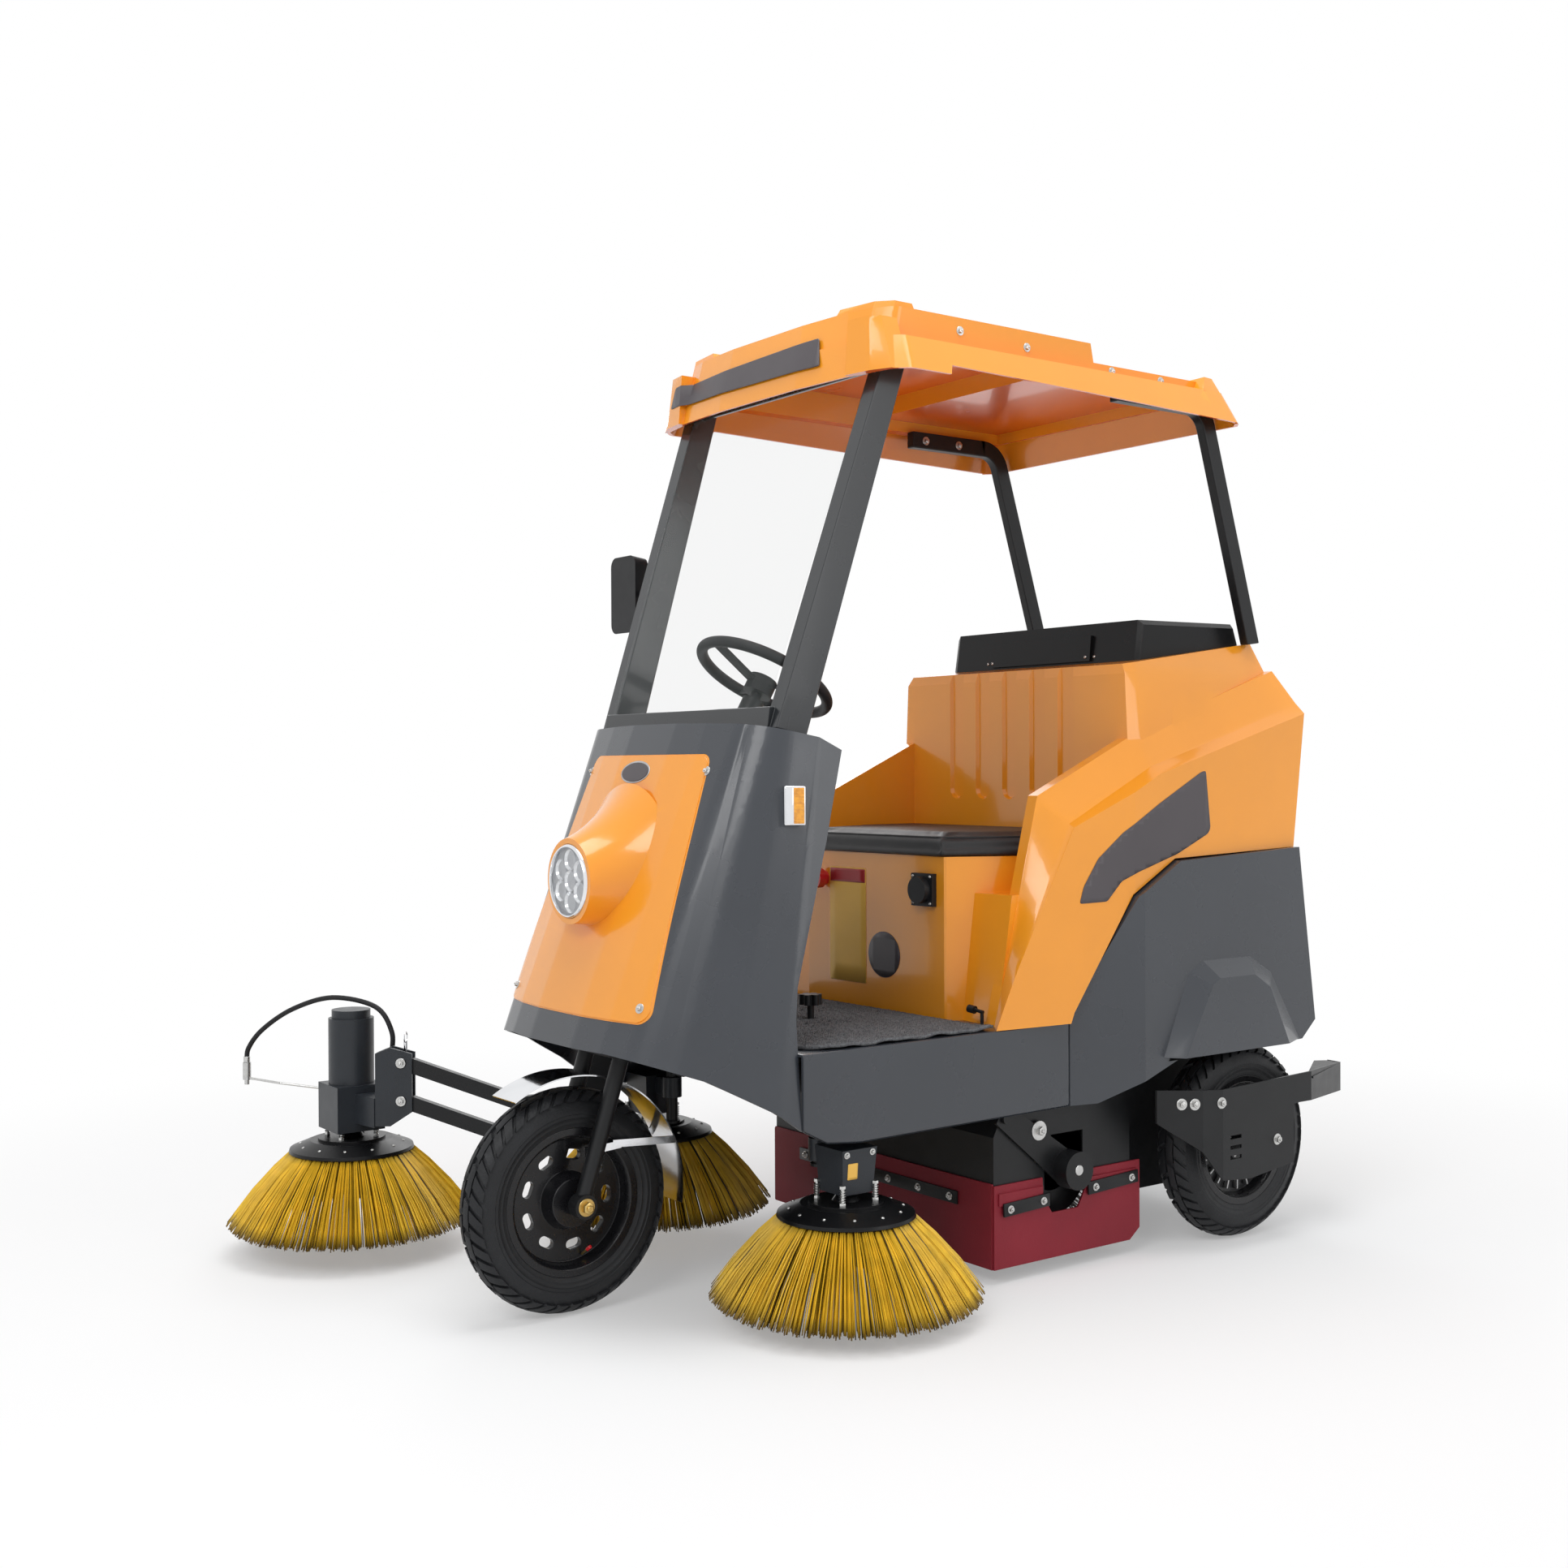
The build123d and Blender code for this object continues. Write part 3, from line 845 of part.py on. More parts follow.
with BuildPart() as floor_lever:
    lever_foot = (385, 850)
    rod((*lever_foot, FLOOR_Z + SEAT_GAP), (*lever_foot, FLOOR_Z + 34), 4)
    rod((lever_foot[0] + 4, lever_foot[1], FLOOR_Z + 34), (lever_foot[0] - 26, lever_foot[1] - 4, FLOOR_Z + 38), 4)
    rod((lever_foot[0] - 20, lever_foot[1] - 3, FLOOR_Z + 37), (lever_foot[0] - 38, lever_foot[1] - 5, FLOOR_Z + 39), 9)
save(floor_lever, "floor_lever")

with BuildPart() as seat_socket:
    block((158, 232), (SEAT_FRONT - 14, SEAT_FRONT - SEAT_GAP), (836, 912))
    rod((195, SEAT_FRONT - 10, 874), (195, SEAT_FRONT - 30, 874), 31)
save(seat_socket, "seat_socket")

with BuildPart() as stop_button:
    rod((-190, SEAT_FRONT - SEAT_GAP, 884), (-190, SEAT_FRONT - 16, 884), 18)
    rod((-190, SEAT_FRONT - 14, 884), (-190, SEAT_FRONT - 34, 884), 25)
save(stop_button, "stop_button")

# ------------------------------------------------------------------------ brushes
SHAFT_STUB_R = 16
MOTOR_HALF = 48


def brush_disc(name, centre):
    """A brush's back: a dished disc with a hub flange, carried on a stub shaft; centre is its lower rim."""
    x, y, z = centre
    with BuildPart() as disc:
        with BuildSketch(Plane(origin=(x, y, z), x_dir=(1, 0, 0), z_dir=(0, -1, 0))):
            with BuildLine():
                Polyline((0, 4), (BRUSH_DISC_R - 30, 4), (BRUSH_DISC_R - 6, -4), (BRUSH_DISC_R, 0),
                         (BRUSH_DISC_R - 2, 7), (98, DISC_H), (80, DISC_H), (80, DISC_H + 5), (30, DISC_H + 5),
                         (22, DISC_H + 16), (SHAFT_STUB_R, DISC_H + 18), (SHAFT_STUB_R, DISC_H + 44),
                         (0, DISC_H + 44), close=True)
            make_face()
        revolve(axis=Axis((x, y, z), (0, 0, 1)))
    save(disc, name)


TUFTS = 36
tuft_root = Vector(BRUSH_DISC_R - 26, 0, -8)
tuft_tip = Vector(BRUSH_TIP_R - 9, 0, -BRUSH_H + 5)
with BuildPart() as tuft:
    ends = []
    for at, broad, deep in ((tuft_root, 19, 22), (tuft_tip, 40, 20)):
        with BuildSketch(Plane(origin=tuple(at), x_dir=(0, 1, 0), z_dir=tuple(tuft_tip - tuft_root)), mode=Mode.PRIVATE) as end:
            Rectangle(broad, deep)
        ends.append(end.sketch.face())
    loft(ends, ruled=True)


def brush_bristles(name, centre):
    """A brush's bristles: a ring of spreading tufts, from under the disc's rim to their tips."""
    x, y, z = centre
    with BuildPart() as bristles:
        with BuildSketch(Plane(origin=(x, y, z), x_dir=(1, 0, 0), z_dir=(0, -1, 0))):
            with BuildLine():
                Polyline((BRUSH_DISC_R - 8, -3.7), (BRUSH_DISC_R - 42, 3.7), (BRUSH_DISC_R - 42, -12),
                         (BRUSH_DISC_R - 8, -26), close=True)
            make_face()
        revolve(axis=Axis((x, y, z), (0, 0, 1)))
        with Locations((x, y, z)):
            with PolarLocations(0, TUFTS):
                add(tuft.part)
    save(bristles, name)


SIDE_BRUSH = (386, 460)
LIFT = 50
POST_R = 14
POST_LOW = 302
POST_INBOARD = 92           # from a brush's axis to its guide post
DISC_LOW_Z = {"left": 215, "right": 215 + LIFT}       # the right brush is parked raised
for side, sign in (("left", 1), ("right", -1)):
    x, y, z = sign * SIDE_BRUSH[0], SIDE_BRUSH[1], DISC_LOW_Z[side]
    brush_disc("side_disc_" + side, (x, y, z))
    brush_bristles("side_bristles_" + side, (x, y, z))
    motor_low = z + DISC_H + 24
    with BuildPart() as brush_motor:
        tapered(motor_low, [(x + 40, y - 40), (x + 40, y + 40), (x - 40, y + 40), (x - 40, y - 40)],
                motor_low + 96, [(x + MOTOR_HALF, y - 46), (x + MOTOR_HALF, y + 46), (x - MOTOR_HALF, y + 46),
                                 (x - MOTOR_HALF, y - 46)])
        rod((x, y, motor_low - 5), (x, y, motor_low + 25), SHAFT_STUB_R + RUNNING_GAP, mode=Mode.SUBTRACT)
        # a clevis block runs on the guide post inboard of the motor
        inboard = sign * (SIDE_BRUSH[0] - POST_INBOARD)
        block(sorted((inboard, x)), (y - 18, y + 18), (motor_low + 54, motor_low + 94))
        rod((inboard, y, motor_low + 50), (inboard, y, motor_low + 98), POST_R + 10)
        rod((inboard, y, motor_low), (inboard, y, motor_low + 110), POST_R + RUNNING_GAP, mode=Mode.SUBTRACT)
    save(brush_motor, "side_motor_" + side)

with BuildPart() as guide_posts:
    for sign in (1, -1):
        post_x = sign * (SIDE_BRUSH[0] - POST_INBOARD)
        rod((post_x, SIDE_BRUSH[1], POST_LOW), (post_x, SIDE_BRUSH[1], rail_z[1]), POST_R)
        rod((post_x, SIDE_BRUSH[1], POST_LOW), (post_x, SIDE_BRUSH[1], POST_LOW + 6), POST_R + 6)
        block(sorted((post_x, sign * (RAIL_HALF + RAIL_W / 2 + SEAT_GAP))),
              (SIDE_BRUSH[1] - POST_R, SIDE_BRUSH[1] + POST_R), (rail_z[1] - 20, rail_z[1]))
save(guide_posts, "guide_posts")

# ------------------------------------------------------------------------ front brush arm
# A parallelogram out to the right of the front wheel; its pivots lie in one upright plane.
ARM_ROOT = Vector(-330, 240, 290)           # lower pivot on the frame
ARM_TIP = Vector(-600, -100, 375)           # lower pivot on the brush head
ARM_RISE = Vector(0, 0, 90)                 # from a lower pivot to its upper one
ARM_BAR_W, ARM_BAR_H = 22, 34
PIVOT_R = 8
CHEEK = ARM_BAR_W / 2 + 1                   # inner face of the plates beside the arms
CHEEK_T = 6
arm_run = Vector(ARM_TIP.X - ARM_ROOT.X, ARM_TIP.Y - ARM_ROOT.Y, 0).normalized()
arm_across = Vector(-arm_run.Y, arm_run.X, 0)


def arm_frame(origin):
    """A plane in the arm's upright plane: x outwards along the arm, y up."""
    return Plane(origin=tuple(origin), x_dir=tuple(arm_run), z_dir=tuple(arm_run.cross(Vector(0, 0, 1))))


def arm_pin(at, reach, radius, mode=Mode.ADD):
    """A pin across the arm, centred on a pivot."""
    rod(tuple(at - arm_across * reach), tuple(at + arm_across * reach), radius, mode=mode)


def arm_plate(origin, points, low, high):
    """A plate in the arm's plane from (outward, up) points, between two offsets across it."""
    with BuildSketch(arm_frame(origin).offset(low), mode=Mode.PRIVATE) as plate:
        with BuildLine():
            Polyline(*points, close=True)
        make_face()
    extrude(plate.sketch, amount=high - low)


def pivot_cheeks(origin, points):
    """Two like plates beside the arms, joined by the arms' two pins."""
    for low in (CHEEK, -CHEEK - CHEEK_T):
        arm_plate(origin, points, low, low + CHEEK_T)
    for pivot in (origin, origin + ARM_RISE):
        arm_pin(pivot, CHEEK + CHEEK_T + 3, PIVOT_R)


def arm_bar(name, root, tip):
    """A cranked arm with a bored eye at each end."""
    low = Vector(root.X, root.Y, root.Z) + arm_run * 150 - Vector(0, 0, 12)
    with BuildPart() as arm:
        for start, end in ((root, low), (low, tip)):
            bar(tuple(start), tuple(end), ARM_BAR_W, ARM_BAR_H)
        for pivot in (root, low, tip):
            arm_pin(pivot, ARM_BAR_W / 2, ARM_BAR_H / 2)
        for pivot in (root, tip):
            arm_pin(pivot, ARM_BAR_W, PIVOT_R + RUNNING_GAP, mode=Mode.SUBTRACT)
    save(arm, name)


arm_bar("lower_arm", ARM_ROOT, ARM_TIP)
arm_bar("upper_arm", ARM_ROOT + ARM_RISE, ARM_TIP + ARM_RISE)

rail_face = -RAIL_HALF - RAIL_W / 2 - SEAT_GAP
with BuildPart() as arm_bracket:
    pivot_cheeks(ARM_ROOT, [(-30, -22), (24, -22), (24, 112), (0, 150), (-20, 260), (-64, 260), (-64, 120)])
    arm_plate(ARM_ROOT, [(-64, 120), (-32, 112), (-32, 260), (-64, 260)], -CHEEK - 1, CHEEK + 1)
    block((rail_face - 74, rail_face), (262, 302), (rail_z[0], rail_z[1] - 8))
save(arm_bracket, "arm_bracket")

FRONT_BRUSH = (-765, -160, 240)              # lower rim of the disc, on its axis
MOTOR_BOX = 60                               # half the width of the motor's folded box
head_low = FRONT_BRUSH[2] + DISC_H + 24
hx, hy = FRONT_BRUSH[:2]
with BuildPart() as brush_head:
    pivot_cheeks(ARM_TIP, [(-26, -26), (26, -60), (62, -60), (62, 112), (26, 126), (-26, 112)])
    arm_plate(ARM_TIP, [(32, -60), (62, -60), (62, 112), (32, 122)], -CHEEK - 1, CHEEK + 1)
    neck = ARM_TIP + arm_run * 48
    bar((neck.X, neck.Y, head_low + 56), (hx, hy, head_low + 56), 50, 70)
    block((hx - MOTOR_BOX, hx + MOTOR_BOX), (hy - MOTOR_BOX, hy + MOTOR_BOX), (head_low, head_low + 110))
    rod((hx, hy, head_low + 100), (hx, hy, head_low + 268), 54)
    rod((hx, hy, head_low + 260), (hx, hy, head_low + 288), 46)
    rod((hx, hy, head_low - 5), (hx, hy, head_low + 25), SHAFT_STUB_R + RUNNING_GAP, mode=Mode.SUBTRACT)
save(brush_head, "brush_head")
brush_disc("front_disc", FRONT_BRUSH)
brush_bristles("front_bristles", FRONT_BRUSH)

# a bent wire holds the nozzle ahead of the brush; the hose loops over the motor to it
NOZZLE = (-985, -340)
NOZZLE_TOP = 438
box_face = hx - MOTOR_BOX - SEAT_GAP
with BuildPart() as spray_nozzle:
    block((box_face - 5, box_face), (hy - 50, hy - 10), (360, 392))
    for start, end in (((box_face - 3, hy - 30, 378), (-905, -286, 392)), ((-905, -286, 392), (*NOZZLE, 400))):
        rod(start, end, 3)
    rod((*NOZZLE, NOZZLE_TOP), (*NOZZLE, NOZZLE_TOP - 42), 10)
    rod((*NOZZLE, NOZZLE_TOP - 42), (*NOZZLE, NOZZLE_TOP - 54), 6)
save(spray_nozzle, "spray_nozzle")

HOSE_R = 6
hose_points = [(-668, -98, 470), (-668, -98, 548), (-710, -134, 598), (-792, -196, 610), (-878, -262, 576),
               (-948, -312, 520), (*NOZZLE, 470), (*NOZZLE, NOZZLE_TOP + SEAT_GAP)]
with BuildPart() as spray_hose:
    with BuildLine() as hose_path:
        FilletPolyline(*hose_points, radius=40)
    with BuildSketch(Plane(origin=hose_points[0], z_dir=(0, 0, 1))):
        Circle(HOSE_R)
    sweep(path=hose_path.line)
save(spray_hose, "spray_hose")
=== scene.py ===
"""Finish for the compact road sweeper: paint, rubber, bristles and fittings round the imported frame."""

import json
import math
import random

import bmesh
import bpy
from mathutils import Matrix, Vector, noise
from mathutils.bvhtree import BVHTree


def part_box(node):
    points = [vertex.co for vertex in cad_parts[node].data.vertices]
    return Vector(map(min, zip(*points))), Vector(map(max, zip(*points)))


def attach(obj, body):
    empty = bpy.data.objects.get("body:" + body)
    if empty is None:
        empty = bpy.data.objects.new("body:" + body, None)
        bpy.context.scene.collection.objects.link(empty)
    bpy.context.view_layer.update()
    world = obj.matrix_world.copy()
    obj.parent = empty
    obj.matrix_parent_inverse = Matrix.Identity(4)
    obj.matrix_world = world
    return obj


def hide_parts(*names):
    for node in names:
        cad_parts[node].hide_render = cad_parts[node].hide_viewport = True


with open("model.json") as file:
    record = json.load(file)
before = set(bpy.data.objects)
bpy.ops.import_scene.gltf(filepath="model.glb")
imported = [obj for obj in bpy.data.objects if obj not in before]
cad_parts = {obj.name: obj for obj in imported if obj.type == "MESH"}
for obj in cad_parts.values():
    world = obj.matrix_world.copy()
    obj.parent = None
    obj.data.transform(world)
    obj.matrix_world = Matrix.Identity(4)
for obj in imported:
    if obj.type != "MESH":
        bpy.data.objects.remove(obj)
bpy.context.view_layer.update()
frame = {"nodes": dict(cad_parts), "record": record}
nodes = frame["nodes"]
chance = random.Random(7)
X, Y, UP = Vector((1, 0, 0)), Vector((0, 1, 0)), Vector((0, 0, 1))
BOTH_SIDES = (1, -1)



def placed(name, data):
    """A new object in the scene."""
    made = bpy.data.objects.new(name, data)
    bpy.context.scene.collection.objects.link(made)
    return made


# ---------------------------------------------------------------- camera
FRAME_PIXELS = 1932
FOCAL_PIXELS = 2192.9
SENSOR_MM = 36
CAMERA_AT = Vector((3.338, -1.858, 1.155))
CAMERA_TURN, CAMERA_DOWN, CAMERA_ROLL = (math.radians(a) for a in (53.80, 0.474, -0.257))


def build_camera():
    """The camera of the main view."""
    side = Vector((math.cos(CAMERA_TURN), math.sin(CAMERA_TURN), 0))
    ahead = UP.cross(side) * math.cos(CAMERA_DOWN) - UP * math.sin(CAMERA_DOWN)
    over = side.cross(ahead)
    right = side * math.cos(CAMERA_ROLL) + over * math.sin(CAMERA_ROLL)
    top = over * math.cos(CAMERA_ROLL) - side * math.sin(CAMERA_ROLL)
    lens = bpy.data.cameras.new("camera")
    lens.sensor_width = SENSOR_MM
    lens.lens = SENSOR_MM * FOCAL_PIXELS / FRAME_PIXELS
    lens.clip_end = 60
    camera = placed("camera", lens)
    turn = Matrix((right, top, -ahead)).transposed()
    camera.matrix_world = Matrix.Translation(CAMERA_AT) @ turn.to_4x4()
    bpy.context.scene.camera = camera


build_camera()

# ---------------------------------------------------------------- finishes


def shader(name):
    """A new material, its nodes, links and principled shader."""
    made = bpy.data.materials.new(name)
    made.use_nodes = True
    tree = made.node_tree
    return made, tree.nodes, tree.links, tree.nodes["Principled BSDF"]


def plug(links, socket, value):
    """Feed a socket from another one, or give it a fixed value."""
    if isinstance(value, bpy.types.NodeSocket):
        links.new(value, socket)
    else:
        socket.default_value = value


def added(shop, links, kind, **inputs):
    """A new shader node with its inputs fed; an underscore stands for a space in an input's name."""
    made = shop.new("ShaderNode" + kind)
    for title, value in inputs.items():
        plug(links, made.inputs[title.replace("_", " ")], value)
    return made


def mixed(shop, links, share, first, second, kind="MIX"):
    """The colour that a share makes of two colours."""
    blend = shop.new("ShaderNodeMix")
    blend.data_type = "RGBA"
    blend.blend_type = kind
    plug(links, blend.inputs[0], share)
    plug(links, blend.inputs[6], first)
    plug(links, blend.inputs[7], second)
    return blend.outputs[2]


def counted(shop, links, operation, first, second):
    """What an operation makes of two values."""
    step = shop.new("ShaderNodeMath")
    step.operation = operation
    plug(links, step.inputs[0], first)
    plug(links, step.inputs[1], second)
    return step.outputs[0]


TONE_ENDS = (0.3, 0.7)
SPECKLE_BLUR = 0.12
GLOSS_CELLS = 3.1
LEAST_ROUGH = 0.02
GRAIN_DEEP = 0.002


def finish(name, colour, rough, metal=0.0, coat=0.0, mottle=(6, 0.06), rough_spread=0.08, grain=(220, 0.05),
           specular=0.5, speckle=None):
    """A finish with a slow change of tone, uneven gloss and a fine surface grain."""
    made, shop, links, skin = shader(name)
    place = shop.new("ShaderNodeTexCoord").outputs["Object"]

    def cloud(scale, detail):
        return added(shop, links, "TexNoise", Scale=scale, Detail=detail, Vector=place).outputs["Fac"]

    tone = added(shop, links, "ValToRGB", Fac=cloud(mottle[0], 4))
    for stop, position, sign in zip(tone.color_ramp.elements, TONE_ENDS, (-1, 1)):
        stop.position = position
        stop.color = (*(min(1, c * (1 + sign * mottle[1])) for c in colour), 1)
    base = tone.outputs["Color"]
    if speckle:
        spots = added(shop, links, "ValToRGB", Fac=cloud(speckle[0], 6))
        spots.color_ramp.elements[0].position = speckle[1]
        spots.color_ramp.elements[1].position = speckle[1] + SPECKLE_BLUR
        base = mixed(shop, links, spots.outputs["Color"], base, (*speckle[2], 1))
    gloss = added(shop, links, "MapRange", Value=cloud(mottle[0] * GLOSS_CELLS, 5),
                  To_Min=max(LEAST_ROUGH, rough - rough_spread), To_Max=rough + rough_spread)
    relief = added(shop, links, "Bump", Strength=grain[1], Distance=GRAIN_DEEP, Height=cloud(grain[0], 3))
    for title, value in (("Base Color", base), ("Roughness", gloss.outputs["Result"]), ("Metallic", metal),
                         ("Coat Weight", coat), ("Coat Roughness", 0.06), ("Specular IOR Level", specular),
                         ("Normal", relief.outputs["Normal"])):
        plug(links, skin.inputs[title], value)
    return made


orange = finish("orange_gelcoat", (0.9, 0.33, 0.016), 0.22, coat=0.5, mottle=(2.2, 0.05), grain=(9, 0.012))
slate = finish("slate_gelcoat", (0.035, 0.040, 0.049), 0.28, coat=0.25, mottle=(2.5, 0.08),
               grain=(9, 0.012))
black_steel = finish("black_powder_coat", (0.009, 0.0095, 0.0105), 0.36, mottle=(8, 0.2),
                     grain=(420, 0.12), specular=0.3)
black_plastic = finish("black_moulding", (0.010, 0.0105, 0.012), 0.42, mottle=(9, 0.15),
                       grain=(650, 0.16), specular=0.28)
satin_black = finish("black_abs_cover", (0.006, 0.0062, 0.007), 0.3, mottle=(5, 0.12),
                     grain=(520, 0.1), specular=0.22)
grip_black = finish("grip_rubber", (0.012, 0.012, 0.0135), 0.55, mottle=(12, 0.2),
                    grain=(300, 0.3), specular=0.3)
rubber = finish("tyre_rubber", (0.0125, 0.0132, 0.015), 0.52, mottle=(11, 0.25), grain=(180, 0.35),
                speckle=(26, 0.62, (0.024, 0.025, 0.027)), specular=0.32)
wheel_black = finish("wheel_enamel", (0.009, 0.009, 0.0105), 0.28, coat=0.15, mottle=(12, 0.2),
                     grain=(260, 0.1), specular=0.3)
chrome = finish("chrome_plate", (0.78, 0.79, 0.81), 0.12, metal=1.0, mottle=(14, 0.04), rough_spread=0.05,
                grain=(90, 0.02))
steel = finish("zinc_steel", (0.56, 0.56, 0.55), 0.32, metal=1.0, mottle=(60, 0.12), grain=(500, 0.1))
silver = finish("cast_silver", (0.5, 0.5, 0.5), 0.38, metal=0.9, mottle=(30, 0.1), grain=(300, 0.15))
brass = finish("plated_brass", (0.62, 0.44, 0.16), 0.3, metal=1.0, mottle=(40, 0.12), grain=(300, 0.1))
vinyl = finish("grained_vinyl", (0.0095, 0.0095, 0.0105), 0.42, mottle=(7, 0.2),
               grain=(900, 0.4), specular=0.4)
carpet = finish("felt_carpet", (0.13, 0.133, 0.14), 0.95, mottle=(160, 0.4), grain=(520, 0.9),
                speckle=(210, 0.56, (0.06, 0.062, 0.068)))
flap_red = finish("red_rubber_sheet", (0.235, 0.016, 0.028), 0.5, mottle=(5, 0.12),
                  grain=(240, 0.12), specular=0.25)
stop_red = finish("red_push_button", (0.62, 0.015, 0.02), 0.3, coat=0.4)
tail_red = finish("red_lens", (0.45, 0.01, 0.015), 0.15, coat=0.8)
amber = finish("amber_lens", (0.95, 0.36, 0.02), 0.12, coat=0.8, mottle=(90, 0.25))
yellow = finish("bristle_core", (0.84, 0.53, 0.035), 0.4, mottle=(30, 0.12), grain=(700, 0.2))
motor_grey = finish("motor_enamel", (0.024, 0.028, 0.034), 0.36, mottle=(9, 0.1),
                    grain=(300, 0.12), specular=0.35)
plate_grey = finish("plate_grey", (0.075, 0.066, 0.072), 0.4, mottle=(6, 0.06),
                    grain=(200, 0.03), specular=0.4)
label_yellow = finish("label_yellow", (0.95, 0.56, 0.11), 0.45, mottle=(9, 0.05),
                      grain=(200, 0.02), specular=0.3)
label_red = finish("label_red", (0.42, 0.02, 0.025), 0.45, mottle=(9, 0.05), grain=(200, 0.02))
reflector = finish("reflector_cup", (0.8, 0.81, 0.83), 0.14, metal=1.0, mottle=(60, 0.05),
                   grain=(120, 0.03))
lamp_back = finish("lamp_back", (0.33, 0.34, 0.36), 0.3, metal=0.3, mottle=(60, 0.1))
lamp_white = finish("lamp_white", (0.82, 0.83, 0.84), 0.3, mottle=(80, 0.05))
pillar_dark = finish("pillar_enamel", (0.018, 0.0205, 0.0235), 0.26, coat=0.2, mottle=(3, 0.1),
                     grain=(12, 0.012))
carpet_pile = finish("carpet_pile", (0.15, 0.153, 0.16), 0.95, mottle=(420, 0.5), grain=(900, 0.3))


def canopy_finish():
    """The canopy's gelcoat: glossy orange above, with painted shade below: downward faces get the deeper
    orange of shade and light through the shell.
    """
    made = finish("canopy_shell", (0.9, 0.33, 0.016), 0.24, coat=0.4, mottle=(2.2, 0.05), grain=(9, 0.012))
    shop, links = made.node_tree.nodes, made.node_tree.links
    tint = shop["Principled BSDF"].inputs["Base Color"]
    split = shop.new("ShaderNodeSeparateXYZ")
    links.new(shop.new("ShaderNodeNewGeometry").outputs["True Normal"], split.inputs[0])
    # painted shade: the more a face points down, the more it turns a darker, deeper orange, standing in for
    # the shade and the light through the shell
    under = added(shop, links, "MapRange", Value=split.outputs["Z"], From_Min=-0.2, From_Max=-0.75)
    painted_underside_shade = mixed(shop, links, under.outputs["Result"], tint.links[0].from_socket, (0.78, 0.115, 0.006, 1))
    links.new(painted_underside_shade, tint)
    return made


canopy_shell = canopy_finish()


def clear_pane(name, tint, alpha, rough):
    """A thin clear sheet: mostly see-through, with a smear of unevenness."""
    made, shop, links, skin = shader(name)
    place = shop.new("ShaderNodeTexCoord").outputs["Object"]
    wave = added(shop, links, "TexNoise", Scale=3, Vector=place)
    relief = added(shop, links, "Bump", Strength=0.04, Height=wave.outputs["Fac"])
    for title, value in (("Base Color", (*tint, 1)), ("Roughness", rough), ("Alpha", alpha),
                         ("Coat Weight", 0.3),
                         ("Normal", relief.outputs["Normal"])):
        plug(links, skin.inputs[title], value)
    return made


screen_clear = clear_pane("screen_clear", (0.2, 0.23, 0.22), 0.06, 0.05)
lens_clear = clear_pane("lens_clear", (0.9, 0.92, 0.94), 0.16, 0.03)

SLOT_FINISH = {
    "orange_cover": orange, "slate_cover": slate, "carpet": carpet, "black_steel": black_steel,
    "black_plastic": black_plastic, "vinyl": vinyl, "battery_case": satin_black, "clear_screen": screen_clear,
    "tyre_rubber": rubber, "rim_black": wheel_black, "bright_steel": chrome, "lamp_lens": lens_clear,
    "tail_red": tail_red, "indicator_amber": amber, "stop_red": stop_red, "flap_red": flap_red,
    "motor_grey": motor_grey, "bristle_yellow": yellow, "roller_bristle": black_plastic,
    "hose_rubber": grip_black}
NODE_FINISH = {
    "canopy": canopy_shell, "hopper_lid": satin_black, "windscreen_frame": pillar_dark,
    "steering_wheel": grip_black,
    "spray_nozzle": steel, "side_disc_left": satin_black, "side_disc_right": satin_black,
    "front_disc": satin_black}
slot_of = {part["node"]: part["material_slot"] for part in frame["record"]["subparts"]}

# Rounding of moulded and pressed edges, in metres, with the nodes that have it.
ROUNDINGS = (
    (0.018, "rear_body"), (0.014, "canopy rear_skirts"), (0.012, "front_cowl mirror"),
    (0.01, "floor_tub seat_cushion"),
    (0.009, "hopper_lid"), (0.006, "front_panel"), (0.004, "windscreen_frame dust_bin rear_panel"),
    (0.003, "rear_struts brush_head side_motor_left side_motor_right cowl_controls lower_arm upper_arm"),
    (0.003, "chassis_frame stop_button tail_lamps indicators"),
    (0.002, "roller_arms roller_housing front_fork side_disc_left side_disc_right front_disc seat_socket"),
    (0.0015, "wheel_guards arm_bracket bin_rails front_rim rear_rim_left rear_rim_right"),
    (0.0015, "floor_knob steering_wheel"),
    (0.001, "rubber_flaps"), (0.0008, "spray_nozzle"))
EDGE_ROUND = {name: width for width, names in ROUNDINGS for name in names.split()}
ROUND_SEGMENTS = 3
ROUND_ANGLE = math.radians(28)
WELD_GAP = 0.00005


def round_edges(piece, width):
    """Close the mesh's loose corners, then round its edges and smooth across them."""
    weld = piece.modifiers.new("close", "WELD")
    weld.merge_threshold = WELD_GAP
    rounding = piece.modifiers.new("round", "BEVEL")
    rounding.width = width
    rounding.segments = ROUND_SEGMENTS
    rounding.limit_method = "ANGLE"
    rounding.angle_limit = ROUND_ANGLE
    rounding.use_clamp_overlap = True
    rounding.miter_outer = "MITER_ARC"
    rounding.harden_normals = False
    even = piece.modifiers.new("even", "WEIGHTED_NORMAL")
    even.keep_sharp = True
    even.weight = 60


for name, piece in nodes.items():
    piece.data.materials.clear()
    piece.data.materials.append(NODE_FINISH.get(name, SLOT_FINISH[slot_of[name]]))
    if name in EDGE_ROUND:
        round_edges(piece, EDGE_ROUND[name])

# ---------------------------------------------------------------- making pieces


def kept(name, board):
    """A finished board of faces as a mesh."""
    mesh = bpy.data.meshes.new(name)
    board.to_mesh(mesh)
    board.free()
    return mesh


def copied(mesh, place):
    """A fresh board with a copy of a mesh, put in its place."""
    board = bmesh.new()
    board.from_mesh(mesh)
    bmesh.ops.transform(board, matrix=place, verts=board.verts)
    return board


